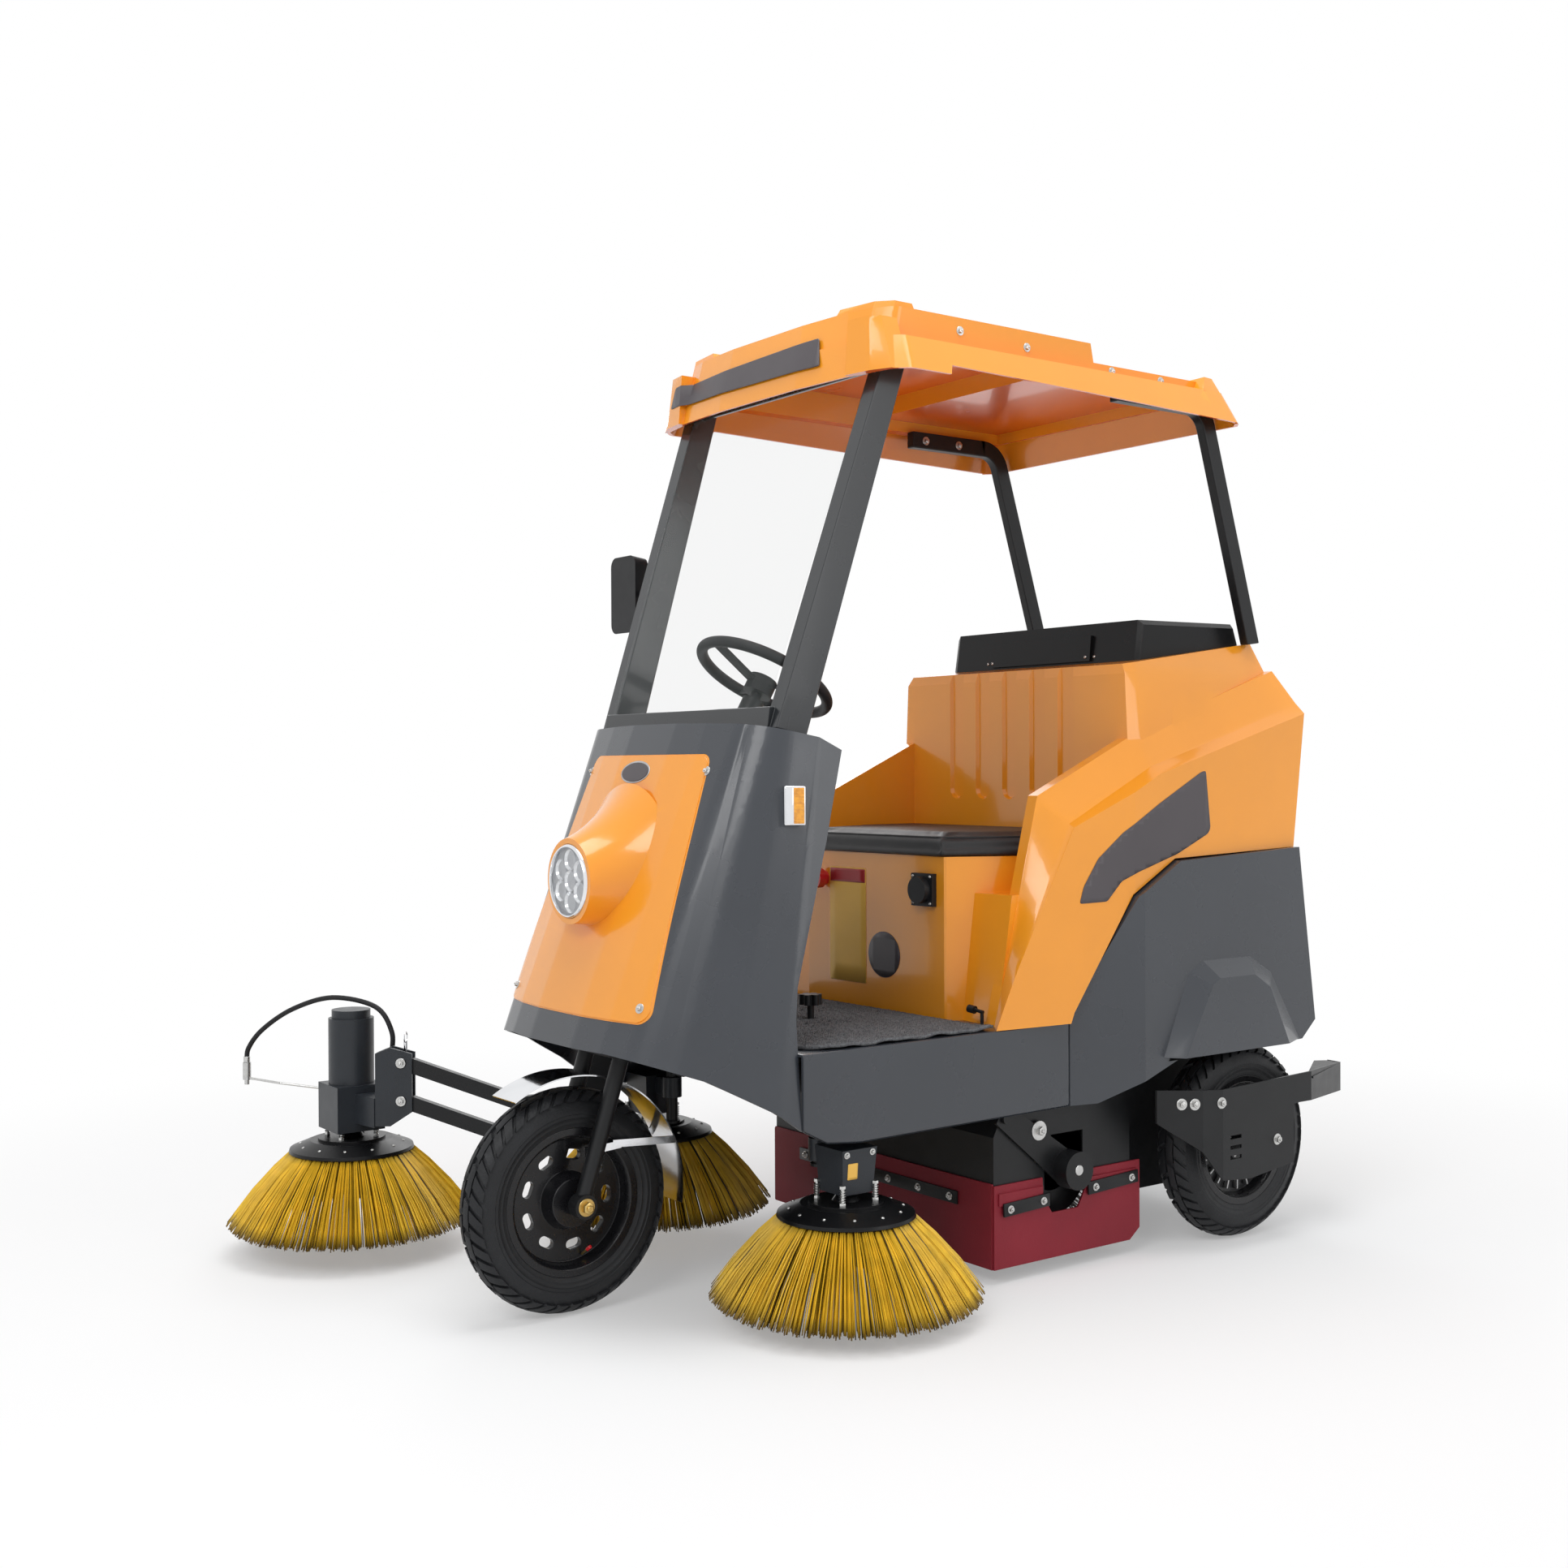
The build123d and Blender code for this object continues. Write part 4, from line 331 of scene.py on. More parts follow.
def shown(name, board, look, body, replaced=(), sharp=32):
    """Turn a finished board of faces into a piece that rides a body."""
    mesh = kept(name, board)
    mesh.polygons.foreach_set("use_smooth", [True] * len(mesh.polygons))
    mesh.set_sharp_from_angle(angle=math.radians(sharp))
    made = placed(name, mesh)
    for one in look if isinstance(look, (list, tuple)) else [look]:
        mesh.materials.append(one)
    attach(made, body)
    if replaced:
        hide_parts(*replaced)
    return made


def aimed(at, direction, upright=UP):
    """A frame at a point, its z axis along a direction."""
    ahead = Vector(direction).normalized()
    side = upright.cross(ahead)
    if side.length < 1e-4:
        side = X.copy()
    side.normalize()
    return Matrix.Translation(Vector(at)) @ Matrix((side, ahead.cross(side), ahead)).transposed().to_4x4()


def within(place, x, y, z):
    """A frame shifted within another one."""
    return place @ Matrix.Translation((x, y, z))


def moved(board, fresh, place):
    """Put the vertices just made in their place."""
    bmesh.ops.transform(board, matrix=place, verts=fresh)
    return fresh


def painted(fresh, material):
    """Give the faces round some vertices their material."""
    faces = list({face for vert in fresh for face in vert.link_faces})
    for face in faces:
        face.material_index = material
    return faces


def bevelled(board, fresh, edges, offset, segments):
    """Round some edges of a fresh shape, and list its vertices again."""
    made = bmesh.ops.bevel(board, geom=edges, offset=offset, segments=segments, profile=0.5, affect="EDGES",
                           material=-1)
    return list({v for f in made["faces"] for v in f.verts} | {v for v in fresh if v.is_valid})


def sliced(board, low, high, axis, cells):
    """Cut a board into even slices along one of its axes."""
    for cell in range(1, cells):
        bmesh.ops.bisect_plane(board, geom=board.verts[:] + board.edges[:] + board.faces[:],
                               plane_co=low + (high - low) * (cell / cells), plane_no=(X, Y, UP)[axis])


def turned(board, profile, place, steps=32, material=0):
    """A shape of revolution about a frame's z axis from (radius, height) points."""
    line = [board.verts.new((radius, 0, height)) for radius, height in profile]
    edges = [board.edges.new(pair) for pair in zip(line, line[1:])]
    before = set(board.verts)
    bmesh.ops.spin(board, geom=line + edges, cent=(0, 0, 0), axis=UP, angle=math.tau, steps=steps,
                   use_merge=True)
    fresh = list((set(board.verts) - before) | set(v for v in line if v.is_valid))
    bmesh.ops.remove_doubles(board, verts=fresh, dist=1e-6)
    fresh = [v for v in fresh if v.is_valid]
    bmesh.ops.recalc_face_normals(board, faces=painted(fresh, material))
    return moved(board, fresh, place)


def drum(board, radius, low, high, place, steps=24, chamfer=0.0, material=0):
    """A closed round bar with chamfered rims."""
    return turned(board, [(0, low), (radius - chamfer, low), (radius, low + chamfer),
                          (radius, high - chamfer),
                          (radius - chamfer, high), (0, high)], place, steps, material)


def brick(board, size, place, edge=0.0, segments=2, material=0):
    """A box of a size centred on a frame, its edges rounded."""
    made = bmesh.ops.create_cube(board, size=1, matrix=Matrix.Diagonal((*size, 1)))
    fresh = made["verts"]
    if edge:
        fresh = bevelled(board, fresh, list({e for v in fresh for e in v.link_edges}), edge, segments)
    painted(fresh, material)
    return moved(board, fresh, place)


def hexagon(board, across, height, place, material=0):
    """A hexagonal head with a chamfered crown, standing on a frame."""
    radius = across / math.sqrt(3)
    made = bmesh.ops.create_cone(board, cap_ends=True, segments=6, radius1=radius, radius2=radius,
                                 depth=height)
    fresh = made["verts"]
    top = {e for v in fresh for e in v.link_edges if all(end.co.z > 0 for end in e.verts)}
    fresh = bevelled(board, fresh, list(top), height * 0.16, 2)
    painted(fresh, material)
    return moved(board, fresh, within(place, 0, 0, height / 2))


def bolt(board, at, direction, across=0.012, washer=1.6, material=0):
    """A hexagon bolt head over its washer, at a point and facing a direction."""
    place = aimed(at, direction)
    thick = across * 0.14
    drum(board, across * washer / 2 * 1.15, -0.0015, thick, place, 20, thick * 0.3, material)
    hexagon(board, across, across * 0.55, within(place, 0, 0, thick), material)
    drum(board, across * 0.24, across * 0.5, across * 0.95, place, 12, across * 0.06, material)


def button(board, at, direction, radius=0.004, material=0):
    """A low domed screw head with a socket."""
    place = aimed(at, direction)
    turned(board, [(0, radius * 0.35), (radius * 0.4, radius * 0.3), (radius * 0.46, radius * 0.7),
                   (radius * 0.8, radius * 0.5), (radius, radius * 0.1), (radius, -0.001), (0, -0.001)],
                   place, 16,
           material)


def tube(board, points, radius, sides=10, material=0):
    """A round bar or cable through points, its ends closed."""
    points = [Vector(p) for p in points]
    rings = []
    for index, at in enumerate(points):
        ahead = (points[min(index + 1, len(points) - 1)] - points[max(index - 1, 0)]).normalized()
        side = UP if abs(ahead.z) < 0.9 else Y
        place = aimed(at, ahead, side)
        made = bmesh.ops.create_circle(board, cap_ends=index in (0, len(points) - 1), segments=sides,
                                       radius=radius)
        rings.append(moved(board, made["verts"], place))
    for near, far in zip(rings, rings[1:]):
        edges = {e for ring in (near, far) for v in ring for e in v.link_edges if e.other_vert(v) in ring}
        bmesh.ops.bridge_loops(board, edges=list(edges))
    fresh = [v for ring in rings for v in ring]
    bmesh.ops.recalc_face_normals(board, faces=painted(fresh, material))
    return fresh


def eased(points, steps=6):
    """A smooth run of points through a few chosen ones."""
    points = [Vector(p) for p in points]
    all_points = [points[0] * 2 - points[1]] + points + [points[-1] * 2 - points[-2]]
    run = []
    for a, b, c, d in zip(all_points, all_points[1:], all_points[2:], all_points[3:]):
        for step in range(steps):
            t = step / steps
            bend = (2 * a - 5 * b + 4 * c - d) * t * t + (3 * b - a - 3 * c + d) * t ** 3
            run.append(0.5 * (2 * b + (c - a) * t + bend))
    return run + [points[-1]]


surfaces = {}


def surface(node):
    """The outside of a CAD node, to lay things on."""
    if node not in surfaces:
        board = bmesh.new()
        outside = nodes[node].evaluated_get(bpy.context.evaluated_depsgraph_get())
        board.from_mesh(outside.to_mesh())
        surfaces[node] = BVHTree.FromBMesh(board)
        board.free()
    return surfaces[node]


def meet(node, at, direction):
    """Where a ray from outside meets a node, and the surface's normal there."""
    spot, normal, _, _ = surface(node).ray_cast(Vector(at), Vector(direction).normalized())
    if spot is None:
        raise ValueError(f"nothing of {node} lies along {tuple(at)} towards {tuple(direction)}")
    return spot, normal if normal.dot(Vector(direction)) < 0 else -normal


BRIDGE_STEPS = 16
STAND_OFF = 0.6


def sticker(name, outline, node, direction, look, body, lift=0.0012, corner=0.01, cells=24, bridged=False):
    """A thin plate cut to an outline, laid on a node along a direction; a bridged one spans hollows."""
    board = bmesh.new()
    ahead = Vector(direction).normalized()
    board.faces.new([board.verts.new(p) for p in outline])
    if corner:
        bmesh.ops.bevel(board, geom=board.verts[:], offset=corner, segments=5, profile=0.5, affect="VERTICES",
                        material=-1)
    low = Vector([min(v.co[i] for v in board.verts) for i in range(3)])
    high = Vector([max(v.co[i] for v in board.verts) for i in range(3)])
    for axis in range(3):
        if abs(ahead[axis]) <= 0.8 and high[axis] - low[axis] >= 0.02:
            sliced(board, low, high, axis, cells)
    for vert in board.verts:
        at = vert.co - ahead * STAND_OFF
        if bridged:
            shares = [step / BRIDGE_STEPS for step in range(BRIDGE_STEPS + 1)]
            depths = [(meet(node, (at.x, at.y, low.z + (high.z - low.z) * share), ahead)[0] - at).dot(ahead)
                      for share in shares]
            run = [depths[0] + (depths[-1] - depths[0]) * share for share in shares]
            proud = max(line - depth for line, depth in zip(run, depths))
            rise = (at.z - low.z) / (high.z - low.z)
            depth = depths[0] + (depths[-1] - depths[0]) * rise - proud
        else:
            depth = (meet(node, at, ahead)[0] - at).dot(ahead)
        vert.co = at + ahead * (depth - lift)
    bmesh.ops.recalc_face_normals(board, faces=board.faces[:])
    if sum((f.normal * f.calc_area() for f in board.faces), Vector()).dot(ahead) > 0:
        bmesh.ops.reverse_faces(board, faces=board.faces[:])
    plate = shown(name, board, look, body)
    thick = plate.modifiers.new("thickness", "SOLIDIFY")
    thick.thickness = lift * 0.8
    thick.offset = -1
    return plate


# ---------------------------------------------------------------- disc brushes
# Each row of tufts: radius at its roots and tips, how far it hangs, and its number of tufts.
TUFT_ROWS = ((0.138, 0.281, 0.172, 62), (0.126, 0.255, 0.177, 56), (0.114, 0.228, 0.178, 50))
TUFT_KINDS = 4
TUFT_FILAMENTS = 13
TUFT_BOW = Vector((0.004, 0, 0.007))
FILAMENT_R = 0.00135
TUFT_SPREAD = 0.013
TUFT_STRAY = 0.012
DARK_SHARE = 0.12


def filament_finish(name, colour):
    """Drawn plastic filament: dirty at its tip, with painted shade darkening it at its root."""
    made = finish(name, colour, 0.42, mottle=(24, 0.16), grain=(500, 0.1))
    shop, links = made.node_tree.nodes, made.node_tree.links
    tint = shop["Principled BSDF"].inputs["Base Color"]
    reach = shop.new("ShaderNodeAttribute")
    reach.attribute_name = "reach"
    root_shade_tip_dirt = added(shop, links, "ValToRGB", Fac=reach.outputs["Fac"])
    stops = root_shade_tip_dirt.color_ramp.elements
    # painted shade darkens the root to 0.45; the dark tip at 0.12 is dirt
    stops[0].position, stops[0].color = 0.0, (0.45, 0.45, 0.45, 1)
    stops[1].position, stops[1].color = 1.0, (0.12, 0.1, 0.08, 1)
    for position, level in ((0.12, 1.0), (0.86, 0.95)):
        stops.new(position).color = (level, level, level, 1)
    links.new(mixed(shop, links, 1.0, tint.links[0].from_socket, root_shade_tip_dirt.outputs["Color"], "MULTIPLY"), tint)
    return made


def filament(board, path, radius, layer):
    """One three-sided filament through points; each of its points knows how far along it lies."""
    made = bmesh.ops.create_circle(board, cap_ends=True, segments=3, radius=radius)
    ring = moved(board, made["verts"], aimed(path[0], path[1] - path[0]))
    for vert in ring:
        vert[layer] = 0.0
    face = ring[0].link_faces[0]
    for index in range(1, len(path)):
        grown = bmesh.ops.extrude_face_region(board, geom=[face])["geom"]
        face = next(g for g in grown if isinstance(g, bmesh.types.BMFace))
        for vert in face.verts:
            vert.co += path[index] - path[index - 1]
            vert[layer] = index / (len(path) - 1)


def build_brush():
    """A whole brush's filaments, its disc's lower rim at the origin."""
    board = bmesh.new()
    layer = board.verts.layers.float.new("reach")
    for row, (root_r, tip_r, drop, count) in enumerate(TUFT_ROWS):
        kinds = []
        for kind in range(TUFT_KINDS):
            before = set(board.verts)
            for strand in range(TUFT_FILAMENTS):
                around, out = chance.uniform(-1, 1), chance.uniform(-1, 1)
                root = Vector((root_r + out * 0.0035, around * 0.0045, 0.002))
                tip = Vector((tip_r + out * 0.010 + chance.uniform(-0.003, 0.003), around * TUFT_SPREAD,
                              -drop + chance.uniform(-0.004, 0.004) + out * 0.006))
                path = [root.lerp(tip, t) + TUFT_BOW * math.sin(math.pi * t) for t in (0, 0.3, 0.65, 1)]
                old = set(board.faces)
                filament(board, path, FILAMENT_R, layer)
                if chance.random() < DARK_SHARE:
                    for face in set(board.faces) - old:
                        face.material_index = 1
            kinds.append(list(set(board.verts) - before))
        step = math.tau / count
        for index in range(count):
            source = kinds[index % len(kinds)]
            edges = list({e for v in source for e in v.link_edges})
            faces = list({f for v in source for f in v.link_faces})
            stray = chance.uniform(-TUFT_STRAY, TUFT_STRAY)
            turn = Matrix.Rotation(index * step + row * step / 3 + stray, 4, "Z")
            copy = bmesh.ops.duplicate(board, geom=source + edges + faces)["geom"]
            moved(board, [g for g in copy if isinstance(g, bmesh.types.BMVert)], turn)
        bmesh.ops.delete(board, geom=[v for kind in kinds for v in kind], context="VERTS")
    return board


yellow_filament = filament_finish("yellow_filament", (0.86, 0.55, 0.03))
black_filament = filament_finish("black_filament", (0.05, 0.04, 0.022))
brush_pattern = kept("brush_pattern", build_brush())
DISC_POST_AT, DISC_SCREW_AT = 0.062, 0.122
DISC_POST_FOOT = 0.031
COIL_AT, COIL_R, COIL_TURNS, COIL_PITCH = 0.0102, 0.0062, 5, 0.0052


def build_disc_studs(hub):
    """Four spring posts and a ring of domed screws on a brush's disc."""
    board = bmesh.new()
    for index in range(4):
        turn = Matrix.Rotation(math.pi / 4 + index * math.pi / 2, 3, "Z")
        foot = Matrix.Translation(hub + turn @ Vector((DISC_POST_AT, 0, DISC_POST_FOOT)))
        drum(board, 0.004, 0, 0.042, foot, steps=12, chamfer=0.0008)
        hexagon(board, 0.012, 0.007, foot)
        for coil in range(COIL_TURNS):
            height = COIL_AT + coil * COIL_PITCH
            turned(board, [(COIL_R, height - 0.0012), (COIL_R + 0.0012, height), (COIL_R, height + 0.0012),
                           (COIL_R - 0.001, height), (COIL_R, height - 0.0012)], foot, 12)
        hexagon(board, 0.012, 0.006, within(foot, 0, 0, 0.0365))
    for index in range(12):
        turn = Matrix.Rotation(index * math.pi / 6, 3, "Z")
        button(board, hub + turn @ Vector((DISC_SCREW_AT, 0, 0.0158)), turn @ Vector((0.38, 0, 1)), 0.004)
    return board


BRUSHES = (("side_{}_left", "side_brush_left"), ("side_{}_right", "side_brush_right"),
           ("front_{}", "front_brush"))
for number, (where, body) in enumerate(BRUSHES):
    low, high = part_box(where.format("disc"))
    hub = Vector(((low.x + high.x) / 2, (low.y + high.y) / 2, low.z + 0.004))
    board = copied(brush_pattern, Matrix.Translation(hub) @ Matrix.Rotation(number * 1.1, 4, "Z"))
    shown(where.format("filaments"), board, [yellow_filament, black_filament], body,
          (where.format("bristles"),))
    shown(where.format("disc_studs"), build_disc_studs(hub), steel, body)

# ---------------------------------------------------------------- tyres
TYRE_R, TYRE_HALF, BEAD_R = 0.240, 0.046, 0.1583
CROWN_R, SHOULDER_R = 0.0542, 0.032
CROWN_TURN = math.asin(0.034 / CROWN_R)
TREAD_DEEP = 0.006
TREAD_PITCHES = 42
ROUND_STEP = math.tau * TYRE_R / TREAD_PITCHES
# Across the tyre: the shoulder blocks' two ends, then the crown blocks'; and their lengths in tread pitches.
SHOULDER_BLOCK, SHOULDER_LONG = (0.0225, 0.052), 0.74
CROWN_BLOCK, CROWN_LONG = (0.0035, 0.0195), 1.66
# The sidewall's ribs, from the shoulder down to the bead: how far inside the widest place, and the radius.
SIDEWALL = ((0.001, 0.196), (0, 0.188), (0.0014, 0.1865), (0.0012, 0.180), (0.003, 0.1785), (0.005, 0.170),
            (0.0045, 0.1685), (0.0075, 0.162), (0.008, BEAD_R))


def tread_point(reach, sink=0.0):
    """(across, radius) on the tyre's outside, or sunk below it, at a distance along it from the crown."""
    away = abs(reach)
    crown = CROWN_R * CROWN_TURN
    if away <= crown:
        angle = away / CROWN_R
        across, radius = CROWN_R * math.sin(angle), TYRE_R - CROWN_R * (1 - math.cos(angle))
    else:
        angle = CROWN_TURN + (away - crown) / SHOULDER_R
        across = CROWN_R * math.sin(CROWN_TURN) + SHOULDER_R * (math.sin(angle) - math.sin(CROWN_TURN))
        shoulder = SHOULDER_R * (math.cos(CROWN_TURN) - math.cos(angle))
        radius = TYRE_R - CROWN_R * (1 - math.cos(CROWN_TURN)) - shoulder
    across -= sink * math.sin(angle)
    radius -= sink * math.cos(angle)
    return math.copysign(across, reach), radius


def tread_block(board, left, right, lean, wide, start):
    """One tread block between two distances across the tyre, leaning round it as it goes outwards."""
    made = bmesh.ops.create_grid(board, x_segments=2, y_segments=5, size=0.5)
    flat = list({f for v in made["verts"] for f in v.link_faces})
    grown = bmesh.ops.extrude_face_region(board, geom=flat)["geom"]
    tops = {g for g in grown if isinstance(g, bmesh.types.BMVert)}
    everything = set(made["verts"]) | tops
    for vert in everything:
        side = vert.co.y + 0.5
        reach = left + (right - left) * side
        taper = 0.92 if vert in tops else 1.06
        angle = start + lean(reach) / TYRE_R + vert.co.x * wide * taper / TYRE_R
        across, radius = tread_point(reach, 0.0 if vert in tops else TREAD_DEEP + 0.001)
        vert.co = Vector((across, -math.sin(angle) * radius, math.cos(angle) * radius))
    return everything


def chevron(reach):
    """How far round the tyre a tread groove has swept at a distance from its crown."""
    return 0.55 * abs(reach) + 6.0 * reach * reach


def build_tyre():
    """A tyre about the X axis: carcass, sidewall ribs and a directional block tread."""
    board = bmesh.new()
    crown = [tread_point(step * 0.0062, TREAD_DEEP) for step in range(-9, 10)]
    side = [(TYRE_HALF - inside, radius) for inside, radius in SIDEWALL]
    profile = [(-a, r) for a, r in reversed(side)] + crown + side
    axle = Matrix.Rotation(math.pi / 2, 4, "Y")
    turned(board, [(radius, across) for across, radius in profile] + [(BEAD_R, -TYRE_HALF + 0.008)], axle, 96)
    for pitch in range(TREAD_PITCHES):
        start = math.tau * pitch / TREAD_PITCHES
        for sign, offset in zip(BOTH_SIDES, (0, math.pi / TREAD_PITCHES)):
            ends = [sign * end for end in SHOULDER_BLOCK]
            tread_block(board, *ends, chevron, ROUND_STEP * SHOULDER_LONG, start + offset)
        if pitch % 2 == 0:
            for sign, offset in zip(BOTH_SIDES, (0, math.tau / TREAD_PITCHES)):
                ends = [sign * end for end in CROWN_BLOCK]
                tread_block(board, *ends, chevron, ROUND_STEP * CROWN_LONG, start + 0.03 + offset)
    bmesh.ops.recalc_face_normals(board, faces=board.faces[:])
    return board


tyre_pattern = kept("tyre_pattern", build_tyre())
for node, body in (("front_tyre", "front_wheel"), ("rear_tyre_left", "rear_wheel_left"),
                   ("rear_tyre_right", "rear_wheel_right")):
    low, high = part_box(node)
    board = copied(tyre_pattern, Matrix.Translation((low + high) / 2))
    shown(node + "_treaded", board, rubber, body, (node,), sharp=40)

# ---------------------------------------------------------------- headlamp
low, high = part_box("headlamp")
LAMP_R = (high.x - low.x) / 2
LAMP_FACE = Vector(((low.x + high.x) / 2, low.y, (low.z + high.z) / 2))
CUP_R, CUP_PITCH = 0.0218, 0.0455
LENS_R = LAMP_R - 0.008


def build_headlamp():
    """The chrome ring, seven reflector cups with their bulbs and facets, and the domed glass."""
    facing = aimed(LAMP_FACE, -Y)
    board = bmesh.new()
    turned(board, [(LENS_R, -0.006), (LENS_R + 0.0015, -0.0006), (LENS_R + 0.004, 0),
                   (LAMP_R - 0.001, -0.003),
                   (LAMP_R, -0.007), (LAMP_R, -0.052), (LENS_R, -0.052), (LENS_R, -0.006)], facing, 64)
    shown("headlamp_ring", board, chrome, "chassis", ("headlamp",))
    board = bmesh.new()
    drum(board, LENS_R + 0.0005, -0.05, -0.0135, facing, 64, 0.001, 0)
    turns = [Matrix.Rotation(math.pi / 6 + k * math.pi / 3, 3, "Z") for k in range(6)]
    ring = [turn @ Vector((CUP_PITCH, 0, 0)) for turn in turns]
    for away in [Vector()] + ring:
        seat = facing @ Matrix.Translation(away)
        turned(board, [(CUP_R, -0.0085), (CUP_R * 0.93, -0.0105), (CUP_R * 0.78, -0.0165),
                       (CUP_R * 0.5, -0.0225),
                       (CUP_R * 0.2, -0.0255), (0, -0.026), (0, -0.03), (CUP_R * 0.6, -0.026),
                       (CUP_R * 0.95, -0.015),
                       (CUP_R * 1.04, -0.0085), (CUP_R, -0.0085)], seat, 24, 1)
        turned(board, [(0, -0.0195), (0.003, -0.0205), (0.0048, -0.0225), (0.0052, -0.026), (0, -0.026)],
               seat, 16, 2)
        for facet in range(12):
            turn = seat @ Matrix.Rotation(facet * math.pi / 6, 4, "Z")
            brick(board, (CUP_R * 0.5, 0.0007, 0.0007),
                  within(turn, CUP_R * 0.68, 0, -0.0178) @ Matrix.Rotation(-0.72, 4, "Y"), material=2)
    shown("headlamp_optics", board, [lamp_back, reflector, lamp_white], "chassis", sharp=50)
    board = bmesh.new()
    outer = [(LENS_R * t, -0.0012 - 0.005 * t * t) for t in (0, 0.25, 0.5, 0.75, 0.95, 1.0)]
    turned(board, outer + [(radius, height - 0.0018) for radius, height in reversed(outer)], facing, 64)
    shown("headlamp_glass", board, lens_clear, "chassis")


build_headlamp()

# ---------------------------------------------------------------- indicators
INDICATOR_SITE = Vector((0.404, 0.318, 1.080))
INDICATOR_WIDE, INDICATOR_TALL = 0.046, 0.082
INDICATOR_PART = 0.074
LENS_RIBS, RIB_PITCH = 11, 0.0065
for side_name, sign in (("left", 1), ("right", -1)):
    site = INDICATOR_SITE.copy()
    site.x *= sign
    face = aimed(site, (0.917 * sign, -0.4, 0))
    board = bmesh.new()
    brick(board, (INDICATOR_WIDE - 0.0005, INDICATOR_TALL - 0.0005, 0.03),
          within(face, 0, 0, -0.0162), 0.003, 3)
    brick(board, (0.0165, INDICATOR_PART, 0.004), within(face, -0.0125 * sign, 0, -0.0022), 0.0015)
    shown(f"indicator_{side_name}_bezel", board, chrome, "chassis")
    board = bmesh.new()
    lens = within(face, 0.0082 * sign, 0, -0.0012)
    brick(board, (0.0225, INDICATOR_PART, 0.0035), lens, 0.0014, 3)
    for rib in range(LENS_RIBS):
        brick(board, (0.0195, 0.0028, 0.002), within(lens, 0, -0.0325 + rib * RIB_PITCH, 0.0013), 0.0008)
    shown(f"indicator_{side_name}_lens", board, amber, "chassis",
          ("indicators",) if sign > 0 else ())

# ---------------------------------------------------------------- bare plates
WING_PLATE = ((1.0818, 0.884), (1.125, 0.947), (1.2, 1.005), (1.32, 1.071), (1.466, 1.144), (1.482, 1.147),
              (1.498, 1.009), (1.489, 0.996), (1.382, 0.951), (1.245, 0.912), (1.195, 0.893), (1.151, 0.848),
              (1.07, 0.846))
CANOPY_PLATE = ((-0.36, 2.094), (0.209, 2.1065), (0.2316, 2.0394), (-0.382, 2.0451))
BADGE_AT = (-0.012, 1.1505)
SEAT_BASE_Y = 0.849
NOTICE_LEFT, NOTICE_RIGHT = -0.169, -0.027
NOTICE_FOOT, NOTICE_HEAD, NOTICE_TOP = 0.634, 0.878, 0.914
NOTICE_RIM = 0.003


def oval(centre, wide, tall, y, steps=40):
    """An upright oval facing the front."""
    turns = [math.tau * step / steps for step in range(steps)]
    return [(centre[0] + wide * math.cos(turn), y, centre[1] + tall * math.sin(turn)) for turn in turns]


def oblong(left, right, foot, top, y):
    """An upright oblong facing the front."""
    return [(left, y, top), (right, y, top), (right, y, foot), (left, y, foot)]


NOTICE = oblong(NOTICE_LEFT, NOTICE_RIGHT, NOTICE_FOOT, NOTICE_TOP, SEAT_BASE_Y)
NOTICE_BAND = oblong(NOTICE_LEFT + NOTICE_RIM, NOTICE_RIGHT - NOTICE_RIM, NOTICE_HEAD, NOTICE_TOP - NOTICE_RIM,
                     SEAT_BASE_Y)
sticker("wing_plate", [(0.49, y, z) for y, z in WING_PLATE], "rear_body", -X, plate_grey, "chassis",
        corner=0.006)
sticker("canopy_plate", [(x, 0.5, z) for x, z in CANOPY_PLATE], "canopy", Y, plate_grey, "chassis",
        corner=0.006, bridged=True)
sticker("panel_badge_rim", oval(BADGE_AT, 0.058, 0.0245, 0), "front_panel", Y, silver, "chassis", 0.001, 0)
sticker("panel_badge", oval(BADGE_AT, 0.0535, 0.021, 0), "front_panel", Y, plate_grey, "chassis", 0.002, 0)
sticker("notice_plate", NOTICE, "rear_body", Y, label_yellow, "chassis", 0.0009, 0.004, 6)
sticker("notice_plate_head", NOTICE_BAND, "rear_body", Y, label_red, "chassis", 0.0014, 0.002, 6)
sticker("oval_plate", oval((0.0415, 0.7103), 0.059, 0.055, SEAT_BASE_Y), "rear_body", Y, plate_grey,
        "chassis", 0.0012, 0, 6)

# ---------------------------------------------------------------- seat cushion
CUSHION_CELL = 0.0055
CUSHION_GROW = 0.007
CUSHION_FRAMES = 20
HELD_HIGH = 0.012
WELT_DROP, WELT_R, WELT_STEP = 0.006, 0.0026, 3


def evaluated_mesh(piece):
    """A new mesh of a piece with its modifiers applied."""
    return bpy.data.meshes.new_from_object(piece.evaluated_get(bpy.context.evaluated_depsgraph_get()))


